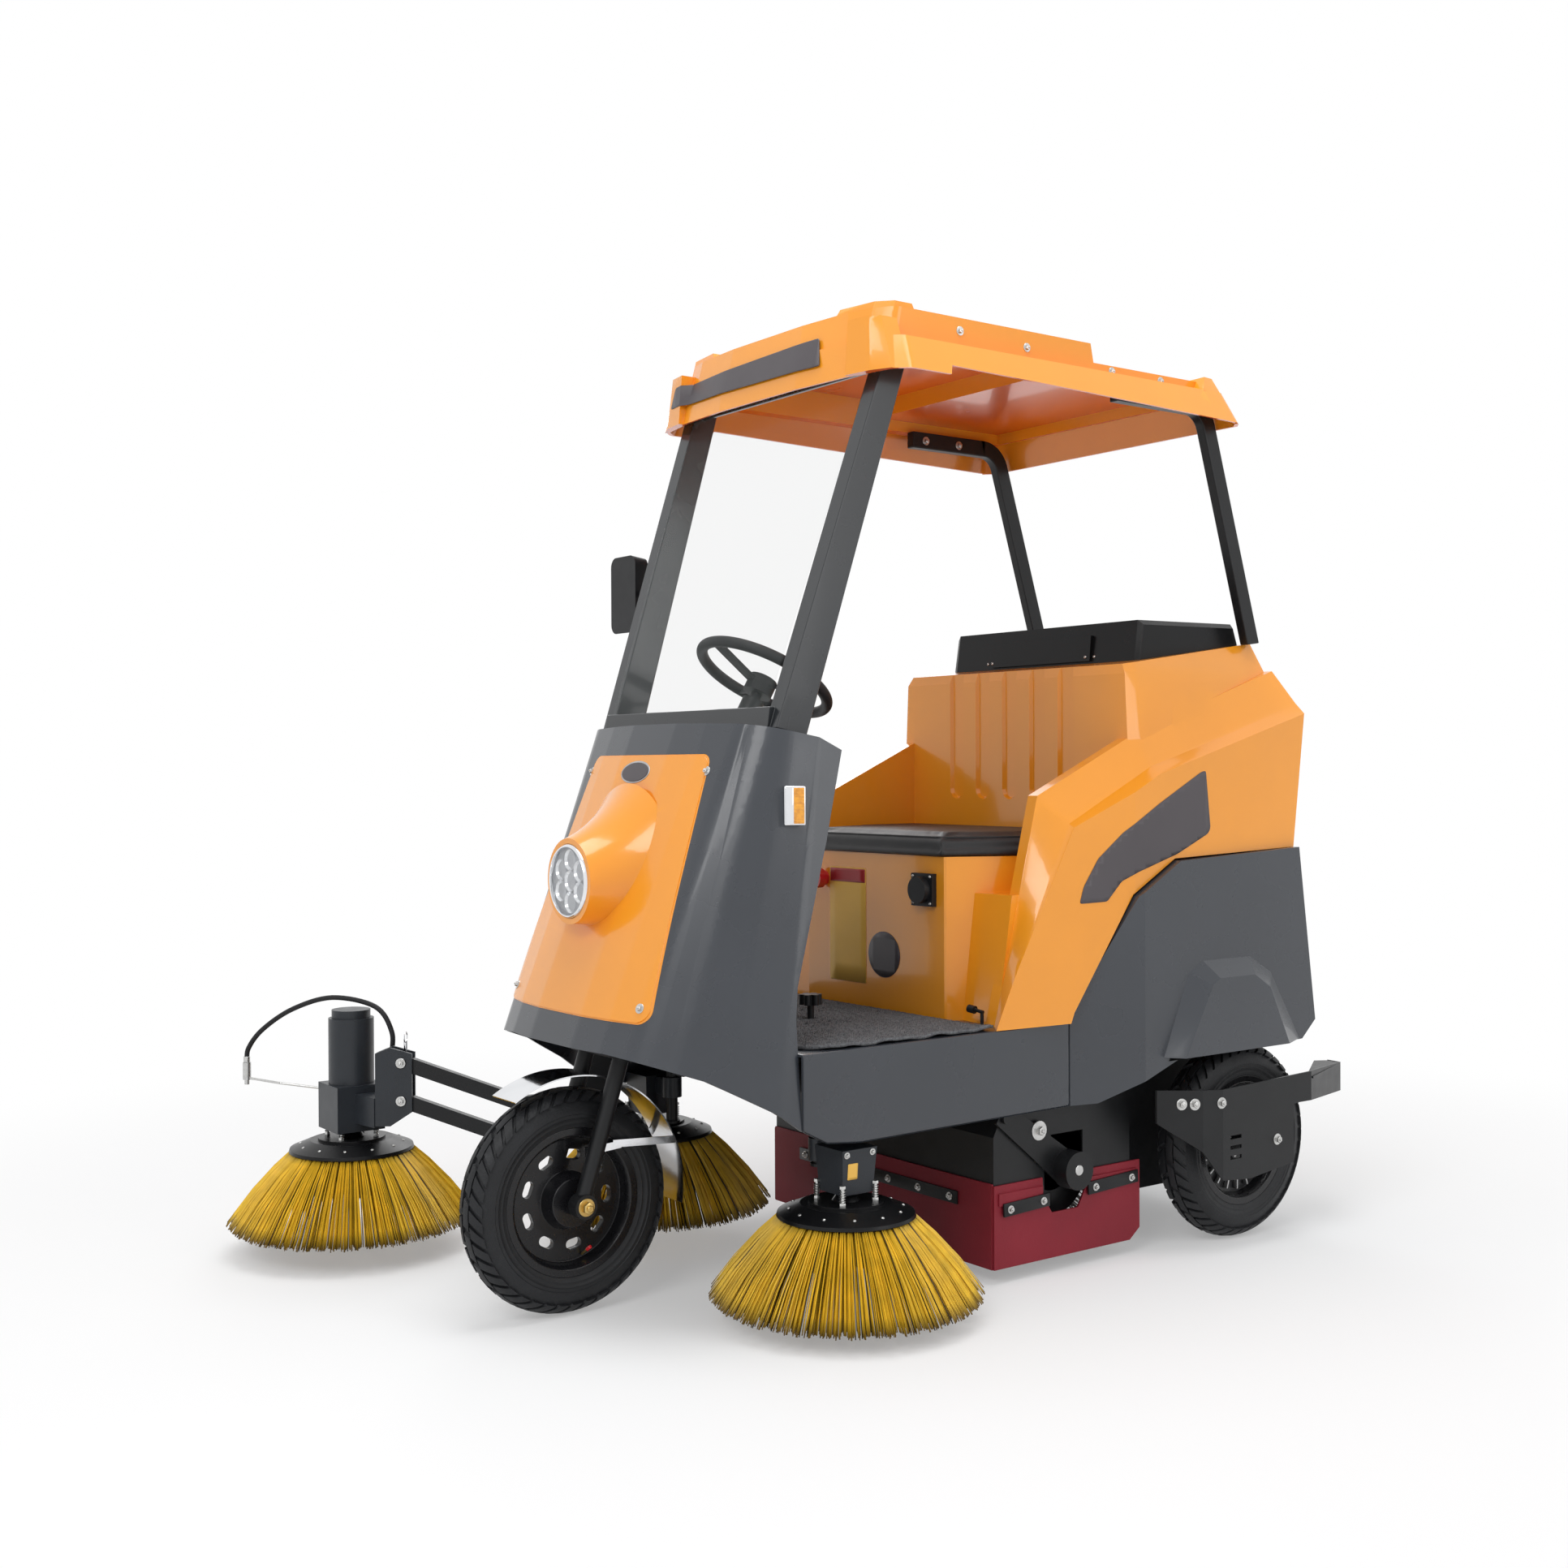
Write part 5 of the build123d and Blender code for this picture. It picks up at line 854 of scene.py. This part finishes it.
def blown_up(blank, floor_z):
    """A pad's mesh after cloth filled with pressure, held at its foot and grown by CUSHION_GROW at most."""
    start = [vert.co.copy() for vert in blank.data.vertices]
    held = blank.vertex_groups.new(name="held")
    held.add([vert.index for vert in blank.data.vertices if vert.co.z < floor_z + HELD_HIGH], 1.0, "REPLACE")
    cloth = blank.modifiers.new("upholstery", "CLOTH")
    cloth.settings.quality = 6
    cloth.settings.mass = 0.35
    cloth.settings.tension_stiffness = cloth.settings.compression_stiffness = 18
    cloth.settings.bending_stiffness = 0.6
    cloth.settings.vertex_group_mass = "held"
    cloth.settings.use_pressure = True
    cloth.settings.uniform_pressure_force = 4
    cloth.settings.effector_weights.gravity = 0
    cloth.point_cache.frame_start = 1
    cloth.point_cache.frame_end = CUSHION_FRAMES
    for frame_number in range(1, CUSHION_FRAMES + 1):
        bpy.context.scene.frame_set(frame_number)
    blown = evaluated_mesh(blank)
    blank.modifiers.clear()
    for vert, first in zip(blown.vertices, start):
        shift = vert.co - first
        if shift.length > CUSHION_GROW:
            vert.co = first + shift * (CUSHION_GROW / shift.length)
        vert.co.z = max(vert.co.z, floor_z + 0.0002)
    bpy.context.scene.frame_set(1)
    return blown


def welt_run(board, height):
    """The outline of a board at a height, as an even run of points."""
    cut = bmesh.ops.bisect_plane(board, geom=board.verts[:] + board.edges[:] + board.faces[:],
                                 plane_co=(0, 0, height), plane_no=UP)
    loop = [g for g in cut["geom_cut"] if isinstance(g, bmesh.types.BMVert)]
    middle = sum((v.co for v in loop), Vector()) / len(loop)
    run = sorted((v.co.copy() for v in loop), key=lambda at: math.atan2(at.y - middle.y, at.x - middle.x))
    run = run[::WELT_STEP]
    return [(run[k - 1] + run[k] + run[(k + 1) % len(run)]) / 3 for k in range(len(run))]


def build_cushion():
    """The seat pad: its own outline blown up like upholstery over foam, with a welt round its upper edge."""
    board = bmesh.new()
    board.from_mesh(nodes["seat_cushion"].data)
    bmesh.ops.remove_doubles(board, verts=board.verts[:], dist=1e-5)
    blank = placed("seat_pad_blank", kept("seat_pad_blank", board))
    cells = blank.modifiers.new("cells", "REMESH")
    cells.mode = "VOXEL"
    cells.voxel_size = CUSHION_CELL
    settle = blank.modifiers.new("settle", "SMOOTH")
    settle.factor = 0.5
    settle.iterations = 6
    made = evaluated_mesh(blank)
    blank.modifiers.clear()
    blank.data = made
    low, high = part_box("seat_cushion")
    blank.data = blown_up(blank, low.z)
    board = bmesh.new()
    board.from_mesh(blank.data)
    outline = board.copy()
    run = welt_run(outline, high.z - WELT_DROP)
    outline.free()
    bpy.data.objects.remove(blank)
    pad = shown("seat_pad", board, vinyl, "chassis", ("seat_cushion",), sharp=60)
    smoother = pad.modifiers.new("smoother", "SUBSURF")
    smoother.levels = smoother.render_levels = 1
    board = bmesh.new()
    tube(board, run + run[:2], WELT_R, 8)
    shown("seat_pad_welt", board, vinyl, "chassis", sharp=60)


build_cushion()

# ---------------------------------------------------------------- floor carpet
MAT_EDGE = ((0.2, 0.318), (0.372, 0.322), (0.404, 0.34), (0.428, 0.372), (0.44, 0.42), (0.44, 0.834),
            (0.35, 0.834))
MAT_THICK = 0.0065
MAT_CELLS = (80, 48)
KNOB_AT, KNOB_HOLE_R = Vector((0.079, 0.6)), 0.0145
EDGE_STARTS, EDGE_WIDE = 0.36, 0.08
PILE_PATCH = 0.062
PILE_PER_PATCH = 150
PILE_LEAN = 0.9
PILE_REACH = 0.0012


def mat_height(x, y, top):
    """How high the mat's underside lies: flat and rough in the middle, waving along its two sides."""
    edge = min(1.0, max(0.0, (abs(x) - EDGE_STARTS) / EDGE_WIDE))
    wave = 0.0022 * edge * edge * (math.sin(y * 47 + 1) + 0.7 * math.sin(y * 83 + 2.5)) + 0.0026 * edge * edge
    rough = noise.noise(Vector((x * 38, y * 38, 1.7))) * 0.0007
    return top - MAT_THICK + max(0.0, wave) + 0.0008 + rough


def build_pile_patch():
    """One square of short leaning fibres."""
    board = bmesh.new()
    for strand in range(PILE_PER_PATCH):
        made = bmesh.ops.create_cone(board, cap_ends=True, segments=3, radius1=chance.uniform(0.0007, 0.0012),
                                     radius2=0.0001, depth=chance.uniform(0.003, 0.005))
        lean = Matrix.Rotation(chance.uniform(-PILE_LEAN, PILE_LEAN), 4, "X")
        lean = lean @ Matrix.Rotation(chance.uniform(-PILE_LEAN, PILE_LEAN), 4, "Y")
        at = Vector((chance.uniform(-0.5, 0.5) * PILE_PATCH, chance.uniform(-0.5, 0.5) * PILE_PATCH, 0.001))
        moved(board, made["verts"], Matrix.Translation(at) @ lean)
    return kept("pile_patch", board)


def build_pile(low, high):
    """Patches of pile over the whole mat, cut back to its outline and laid on its top."""
    patch = build_pile_patch()
    board = bmesh.new()
    across, along = round((high.x - low.x) / PILE_PATCH), round((high.y - low.y) / PILE_PATCH)
    wide, deep = (high.x - low.x) / across, (high.y - low.y) / along
    for column in range(across):
        for row in range(along):
            old = len(board.verts)
            board.from_mesh(patch)
            board.verts.ensure_lookup_table()
            turn = Matrix.Rotation(chance.randrange(4) * math.pi / 2, 4, "Z")
            spot = Vector((low.x + (column + 0.5) * wide, low.y + (row + 0.5) * deep, 0))
            bmesh.ops.transform(board, matrix=Matrix.Translation(spot) @ turn, verts=board.verts[old:])
    under = surface("floor_mat")
    lost = []
    for vert in board.verts:
        near = under.find_nearest((vert.co.x, vert.co.y, high.z))[0]
        if near is None or (near.xy - vert.co.xy).length > PILE_REACH:
            lost.append(vert)
        vert.co.z += mat_height(vert.co.x, vert.co.y, high.z) + MAT_THICK
    bmesh.ops.delete(board, geom=list({f for v in lost for f in v.link_faces}), context="FACES")
    bmesh.ops.delete(board, geom=[v for v in board.verts if not v.link_faces], context="VERTS")
    torn = [f for f in board.faces if not all(e.is_manifold for e in f.edges)]
    bmesh.ops.delete(board, geom=torn, context="FACES")
    return board


def build_carpet():
    """The felt mat with a short rough pile, waving a little along its sides."""
    low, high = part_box("floor_mat")
    board = bmesh.new()
    ring = list(MAT_EDGE) + [(-x, y) for x, y in reversed(MAT_EDGE)]
    board.faces.new([board.verts.new((x, y, 0)) for x, y in ring])
    for axis, cells in enumerate(MAT_CELLS):
        sliced(board, low, high, axis, cells)
    hole = [f for f in board.faces if (f.calc_center_median().xy - KNOB_AT).length < KNOB_HOLE_R]
    bmesh.ops.delete(board, geom=hole, context="FACES")
    for vert in board.verts:
        vert.co.z = mat_height(vert.co.x, vert.co.y, high.z)
    bmesh.ops.recalc_face_normals(board, faces=board.faces[:])
    if board.faces[:][0].normal.z < 0:
        bmesh.ops.reverse_faces(board, faces=board.faces[:])
    mat = shown("carpet", board, carpet, "chassis", ("floor_mat",), sharp=60)
    thick = mat.modifiers.new("thickness", "SOLIDIFY")
    thick.thickness = MAT_THICK
    thick.offset = 1
    pile = shown("carpet_pile", build_pile(low, high), carpet_pile, "chassis")


build_carpet()

# ---------------------------------------------------------------- fasteners and small fittings


BESIDE = 0.8


def bolts_beside(board, node, spots, across, washer):
    """Bolts on both sides of a node, met from outside at heights along it."""
    for sign in BOTH_SIDES:
        for y, z in spots:
            bolt(board, *meet(node, (BESIDE * sign, y, z), -X * sign), across, washer)


board = bmesh.new()
for sign in BOTH_SIDES:
    for x, z in ((0.2365, 1.152), (0.262, 0.672)):
        bolt(board, *meet("front_panel", (x * sign, -0.5, z), Y), 0.0095, 1.9)
shown("panel_bolts", board, steel, "chassis")

board = bmesh.new()
bolts_beside(board, "canopy", ((0.785, 2.121), (0.988, 2.112), (1.265, 2.093), (1.434, 2.091)), 0.010, 1.8)
for sign in BOTH_SIDES:
    for y in (1.335, 1.455):
        bolt(board, *meet("rear_struts", (0, y, 2.05), X * sign), 0.012, 1.7)
shown("canopy_bolts", board, steel, "chassis")

board = bmesh.new()
for x in (-0.2, -0.176, 0.165, 0.189):
    button(board, *meet("hopper_lid", (x, 1.2, 1.4345), Y), 0.0042)
shown("lid_rivets", board, steel, "lid")

# The clamp bars that hold the rubber flaps, bolted through along their upper edge.
FLAP_CLAMPS = (((0.878, 0.166), (1.02, 0.172)), ((1.145, 0.178), (1.312, 0.186)))
CLAMP_THICK, CLAMP_TALL, CLAMP_EDGE = 0.005, 0.03, 0.0012
CLAMP_OFF, CLAMP_BOLT_OFF = 0.002, 0.0045
FRONT_CLAMP_Z, FRONT_CLAMP_LONG, FRONT_CLAMP_PITCH = 0.176, 0.6, 0.11
low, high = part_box("rubber_flaps")
clamps, clamp_bolts = bmesh.new(), bmesh.new()
for sign in BOTH_SIDES:
    for start, end in FLAP_CLAMPS:
        start, end = Vector((high.x * sign, *start)), Vector((high.x * sign, *end))
        run = end - start
        middle = (start + end) / 2 + X * (CLAMP_OFF * sign)
        tilt = Matrix.Rotation(math.atan2(run.z, run.y), 4, "X")
        brick(clamps, (CLAMP_THICK, run.y, CLAMP_TALL), Matrix.Translation(middle) @ tilt, CLAMP_EDGE)
        for share in (0.14, 0.86):
            bolt(clamp_bolts, start + run * share + X * (CLAMP_BOLT_OFF * sign), X * sign, 0.010)
brick(clamps, (FRONT_CLAMP_LONG, CLAMP_THICK, CLAMP_TALL),
      Matrix.Translation((0, low.y - CLAMP_OFF, FRONT_CLAMP_Z)), CLAMP_EDGE)
for step in range(6):
    at = ((step - 2.5) * FRONT_CLAMP_PITCH, low.y - CLAMP_BOLT_OFF, FRONT_CLAMP_Z)
    bolt(clamp_bolts, at, -Y, 0.010)
shown("flap_clamps", clamps, black_steel, "chassis")
shown("flap_clamp_bolts", clamp_bolts, steel, "chassis")

board = bmesh.new()
bolts_beside(board, "wheel_guards", ((1.348, 0.366), (1.38, 0.364), (1.457, 0.361), (1.66, 0.25)), 0.014, 1.7)
shown("guard_bolts", board, steel, "chassis")

board = bmesh.new()
bolts_beside(board, "roller_arms", ((0.99, 0.332),), 0.018, 2.2)
for sign in BOTH_SIDES:
    place = aimed(*meet("roller_arms", (BESIDE * sign, 1.0755, 0.2373), -X * sign))
    turned(board, [(0, 0.0012), (0.011, 0.0012), (0.012, 0.0), (0.012, -0.001), (0, -0.001)], place, 24)
shown("roller_arm_bolts", board, steel, "roller_carrier")

SOCKET_INSET = 0.007
low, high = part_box("seat_socket")
board = bmesh.new()
for x in (low.x + SOCKET_INSET, high.x - SOCKET_INSET):
    for z in (low.z + SOCKET_INSET, high.z - SOCKET_INSET):
        button(board, *meet("seat_socket", (x, 0.7, z), Y), 0.0038)
shown("socket_screws", board, steel, "chassis")

# ---------------------------------------------------------------- wheels' fittings
low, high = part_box("front_tyre")
axle_z = (low.z + high.z) / 2
low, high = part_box("front_fork")
board = bmesh.new()
for sign in BOTH_SIDES:
    seat = aimed(((high.x - 0.001) * sign, 0, axle_z), X * sign)
    drum(board, 0.019, 0, 0.0025, seat, 28, 0.0006)
    hexagon(board, 0.023, 0.011, within(seat, 0, 0, 0.0025))
    drum(board, 0.0068, 0.012, 0.019, seat, 20, 0.001)
shown("front_axle_nuts", board, brass, "fork")

board = bmesh.new()
stem = aimed((0.012, 0.034, 0.1195), (0.75, 0.2, 0.6))
drum(board, 0.0028, 0, 0.026, stem, 12, 0.0004, 0)
drum(board, 0.004, 0.02, 0.034, stem, 12, 0.001, 1)
shown("valve_stem", board, [brass, stop_red], "front_wheel")

HUB_FINS, HUB_NUTS = 20, 5
FIN_SIZE, FIN_AT = (0.062, 0.0045, 0.012), (0.093, 0, -0.024)
NUT_AT = (0.044, 0, -0.019)
for side_name, sign in (("left", 1), ("right", -1)):
    low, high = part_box(f"rear_rim_{side_name}")
    middle = (low + high) / 2
    board = bmesh.new()
    seat = aimed((high.x if sign > 0 else low.x, middle.y, middle.z), X * sign)
    for index in range(HUB_FINS):
        turn = seat @ Matrix.Rotation(index * math.tau / HUB_FINS, 4, "Z")
        brick(board, FIN_SIZE, turn @ Matrix.Translation(FIN_AT), 0.0014)
    for index in range(HUB_NUTS):
        turn = Matrix.Rotation(index * math.tau / HUB_NUTS + 0.3, 3, "Z")
        place = seat @ Matrix.Translation(turn @ Vector(NUT_AT))
        hexagon(board, 0.015, 0.01, place)
        drum(board, 0.0045, 0.009, 0.016, place, 14, 0.0008)
    shown(f"rear_hub_fins_{side_name}", board, silver, f"rear_wheel_{side_name}")

# ---------------------------------------------------------------- mirror and motor fittings
low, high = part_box("mirror")
board = bmesh.new()
glass = aimed(((low.x + high.x) / 2 - 0.028, high.y + 0.0002, (low.z + high.z) / 2), Y)
brick(board, (0.084, 0.158, 0.0016), glass, 0.0007)
shown("mirror_glass", board, chrome, "chassis")

MOTOR_INSET = 0.012
for side_name, sign in (("left", 1), ("right", -1)):
    low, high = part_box(f"side_motor_{side_name}")
    board = bmesh.new()
    for y in (low.y + MOTOR_INSET, high.y - MOTOR_INSET):
        bolt(board, *meet(f"side_motor_{side_name}", (0.9 * sign, y, high.z - MOTOR_INSET), -X * sign), 0.008)
    shown(f"side_motor_screws_{side_name}", board, steel, f"side_lift_{side_name}")

# ---------------------------------------------------------------- main roller
ROLLER_ROWS, ROLLER_TUFTS, ROLLER_STRANDS = 14, 44, 7
ROLLER_CORE_R = 0.11
ROLLER_TWIST = 0.9
ROLLER_INSET = 0.024
FLANGE_INSET, BOSS_INSET = 0.015, 0.0145


def build_roller():
    """The sweeping roller: filament tufts in slow spirals on a drum with end flanges."""
    low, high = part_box("main_roller")
    middle, half, reach = (low + high) / 2, (high.x - low.x) / 2, (high.z - low.z) / 2
    along = Matrix.Translation(middle) @ Matrix.Rotation(math.pi / 2, 4, "Y")
    board = bmesh.new()
    board.verts.layers.float.new("reach")
    kinds = []
    for kind in range(TUFT_KINDS):
        tuft = bmesh.new()
        layer = tuft.verts.layers.float.new("reach")
        for strand in range(ROLLER_STRANDS):
            around, out = chance.uniform(-1, 1), chance.uniform(-1, 1)
            root = Vector((out * 0.004, around * 0.004, ROLLER_CORE_R - 0.002))
            tip = Vector((out * 0.0095, around * 0.015, reach - chance.uniform(0.001, 0.006)))
            filament(tuft, [root, root.lerp(tip, 0.5) + Y * 0.006, tip], FILAMENT_R, layer)
        kinds.append(kept("roller_tuft", tuft))
    for row in range(ROLLER_ROWS):
        for index in range(ROLLER_TUFTS):
            share = (index + 0.5) / ROLLER_TUFTS
            old = len(board.verts)
            board.from_mesh(chance.choice(kinds))
            board.verts.ensure_lookup_table()
            angle = row * math.tau / ROLLER_ROWS + ROLLER_TWIST * share
            spot = middle + X * (half - ROLLER_INSET) * (2 * share - 1)
            place = Matrix.Translation(spot) @ Matrix.Rotation(angle, 4, "X")
            bmesh.ops.transform(board, matrix=place, verts=board.verts[old:])
    drum(board, ROLLER_CORE_R, -half + 0.012, half - 0.012, along, 48, 0.003, 1)
    for sign in BOTH_SIDES:
        flange = along @ Matrix.Translation((0, 0, (half - FLANGE_INSET) * sign))
        drum(board, ROLLER_CORE_R + 0.012, -0.003, 0.003, flange, 48, 0.001, 1)
        boss = along @ Matrix.Translation((0, 0, (half - BOSS_INSET) * sign))
        drum(board, 0.022, -0.0145, 0.0145, boss, 28, 0.002, 1)
    shown("roller_filaments", board, [black_filament, black_steel], "roller",
          ("main_roller",))


build_roller()

# ---------------------------------------------------------------- last trims
label_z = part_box("side_motor_left")[0].z + 0.045
label = [(0.45, 0.43, label_z + 0.022), (0.45, 0.456, label_z + 0.022), (0.45, 0.456, label_z - 0.012),
         (0.45, 0.43, label_z - 0.012)]
sticker("motor_label", label, "side_motor_left", -X, label_yellow, "side_lift_left", 0.0008, 0.002, 6)

# The parallel arm's pivot nuts, and the ring pin that locks the raised arm.
ARM_ROOT, ARM_TIP, ARM_RISE = Vector((-0.33, 0.24, 0.29)), Vector((-0.6, -0.1, 0.375)), UP * 0.09
run = ARM_TIP - ARM_ROOT
pivot_axis = Vector((run.y, -run.x, 0)).normalized()
for name, node, body, foot in (("arm_root_nuts", "arm_bracket", "chassis", ARM_ROOT),
                               ("arm_head_nuts", "brush_head", "arm_head", ARM_TIP)):
    board = bmesh.new()
    for pivot in (foot, foot + ARM_RISE):
        for sign in BOTH_SIDES:
            bolt(board, *meet(node, pivot + pivot_axis * 0.2 * sign, -pivot_axis * sign), 0.013)
    shown(name, board, steel, body)

RING_R, RING_UP, RING_STEPS = 0.013, 0.03, 24
board = bmesh.new()
spot = meet("brush_head", ARM_TIP + pivot_axis * 0.012 + UP * 0.4 - run.normalized() * 0.004, -UP)[0]
drum(board, 0.0042, -0.004, 0.022, Matrix.Translation(spot), 16, 0.0008)
hoop = [spot + UP * (RING_UP + RING_R * math.sin(angle)) + pivot_axis * RING_R * math.cos(angle)
        for angle in [math.tau * step / RING_STEPS for step in range(RING_STEPS + 2)]]
tube(board, hoop, 0.0016, 8)
shown("arm_ring_pin", board, chrome, "arm_head")

# The spray hose's route over the motor, drawn as one smooth curve through its own points.
HOSE_POINTS = ((-0.668, -0.098, 0.47), (-0.668, -0.098, 0.53), (-0.7, -0.126, 0.588), (-0.792, -0.196, 0.606),
               (-0.878, -0.262, 0.575), (-0.948, -0.312, 0.522), (-0.98, -0.337, 0.474),
               (-0.985, -0.34, 0.439))
low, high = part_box("spray_hose")
hose_r = high.x - HOSE_POINTS[0][0]
board = bmesh.new()
tube(board, eased(HOSE_POINTS, 8), hose_r, 14)
drum(board, hose_r + 0.0022, 0, 0.012, Matrix.Translation(HOSE_POINTS[0]), 16, 0.0006, 1)
drum(board, hose_r + 0.002, -0.001, 0.014, Matrix.Translation(HOSE_POINTS[-1]), 16, 0.0006, 1)
shown("spray_hose_run", board, [grip_black, steel], "arm_head", ("spray_hose",))

# ---------------------------------------------------------------- floor and light


WHITE = (1, 1, 1, 1)
SUBJECT = Vector((0, 0.8, 0.9))
FADE_STARTS, FADE_ENDS = 1.2, 3.6
# Each lamp: its name, place, size and power.
LAMPS = (("key", (2.6, -4.2, 4.6), (3.2, 2.2), 110), ("side", (5.0, 2.6, 2.6), (2.4, 3.0), 45),
         ("back", (-4.5, 3.5, 3.4), (3.0, 2.0), 45), ("top", (0.4, 0.6, 5.2), (3.0, 3.0), 120))


def seen_rays(shop, links):
    """1 where a ray comes from the camera, a gloss or a clear sheet."""
    path = shop.new("ShaderNodeLightPath").outputs
    both = counted(shop, links, "MAXIMUM", path["Is Camera Ray"], path["Is Glossy Ray"])
    return counted(shop, links, "MAXIMUM", both, path["Is Transmission Ray"])


def blended(shop, links, share, first, second):
    """What a share makes of two shaders."""
    blend = shop.new("ShaderNodeMixShader")
    for socket, value in zip(blend.inputs, (share, first, second)):
        links.new(value, socket)
    return blend.outputs[0]


def build_floor():
    """A pale floor that takes the shadow and fades to white away from the machine."""
    board = bmesh.new()
    bmesh.ops.create_circle(board, cap_ends=True, segments=96, radius=14)
    bmesh.ops.translate(board, verts=board.verts, vec=(0, 1, -0.0005))
    floor = placed("floor", kept("floor", board))
    made, shop, links, skin = shader("pale_floor")
    skin.inputs["Base Color"].default_value = (0.93, 0.93, 0.93, 1)
    skin.inputs["Roughness"].default_value = 0.85
    skin.inputs["Specular IOR Level"].default_value = 0.1
    reach = shop.new("ShaderNodeVectorMath")
    reach.operation = "DISTANCE"
    reach.inputs[1].default_value = (SUBJECT.x, SUBJECT.y, 0)
    links.new(shop.new("ShaderNodeTexCoord").outputs["Object"], reach.inputs[0])
    fade = added(shop, links, "MapRange", Value=reach.outputs["Value"], From_Min=FADE_STARTS,
                 From_Max=FADE_ENDS,
                 To_Min=0.3, To_Max=1.0)
    fade.interpolation_type = "SMOOTHSTEP"
    seen = counted(shop, links, "MULTIPLY", fade.outputs["Result"], seen_rays(shop, links))
    paper = added(shop, links, "Emission", Color=WHITE, Strength=1.0)
    whole = blended(shop, links, seen, skin.outputs[0], paper.outputs[0])
    links.new(whole, shop["Material Output"].inputs["Surface"])
    floor.data.materials.append(made)


def build_world():
    """A white world to the eye that lights the machine at half its strength."""
    world = bpy.data.worlds.new("studio")
    bpy.context.scene.world = world
    world.use_nodes = True
    shop, links = world.node_tree.nodes, world.node_tree.links
    shop.clear()
    seen = added(shop, links, "Background", Color=WHITE, Strength=1.0)
    lit = added(shop, links, "Background", Color=(0.97, 0.98, 1, 1), Strength=0.5)
    choice = blended(shop, links, seen_rays(shop, links), lit.outputs[0], seen.outputs[0])
    links.new(choice, shop.new("ShaderNodeOutputWorld").inputs[0])


def build_lamps():
    """Four wide lamps aimed at the machine."""
    for title, at, size, power in LAMPS:
        lamp = bpy.data.lights.new(title, "AREA")
        lamp.shape = "RECTANGLE"
        lamp.size, lamp.size_y = size
        lamp.energy = power
        holder = placed(title, lamp)
        turn = (SUBJECT - Vector(at)).to_track_quat("-Z", "Y")
        holder.matrix_world = Matrix.Translation(at) @ turn.to_matrix().to_4x4()


build_floor()
build_world()
build_lamps()
bpy.context.scene.view_settings.view_transform = "Standard"
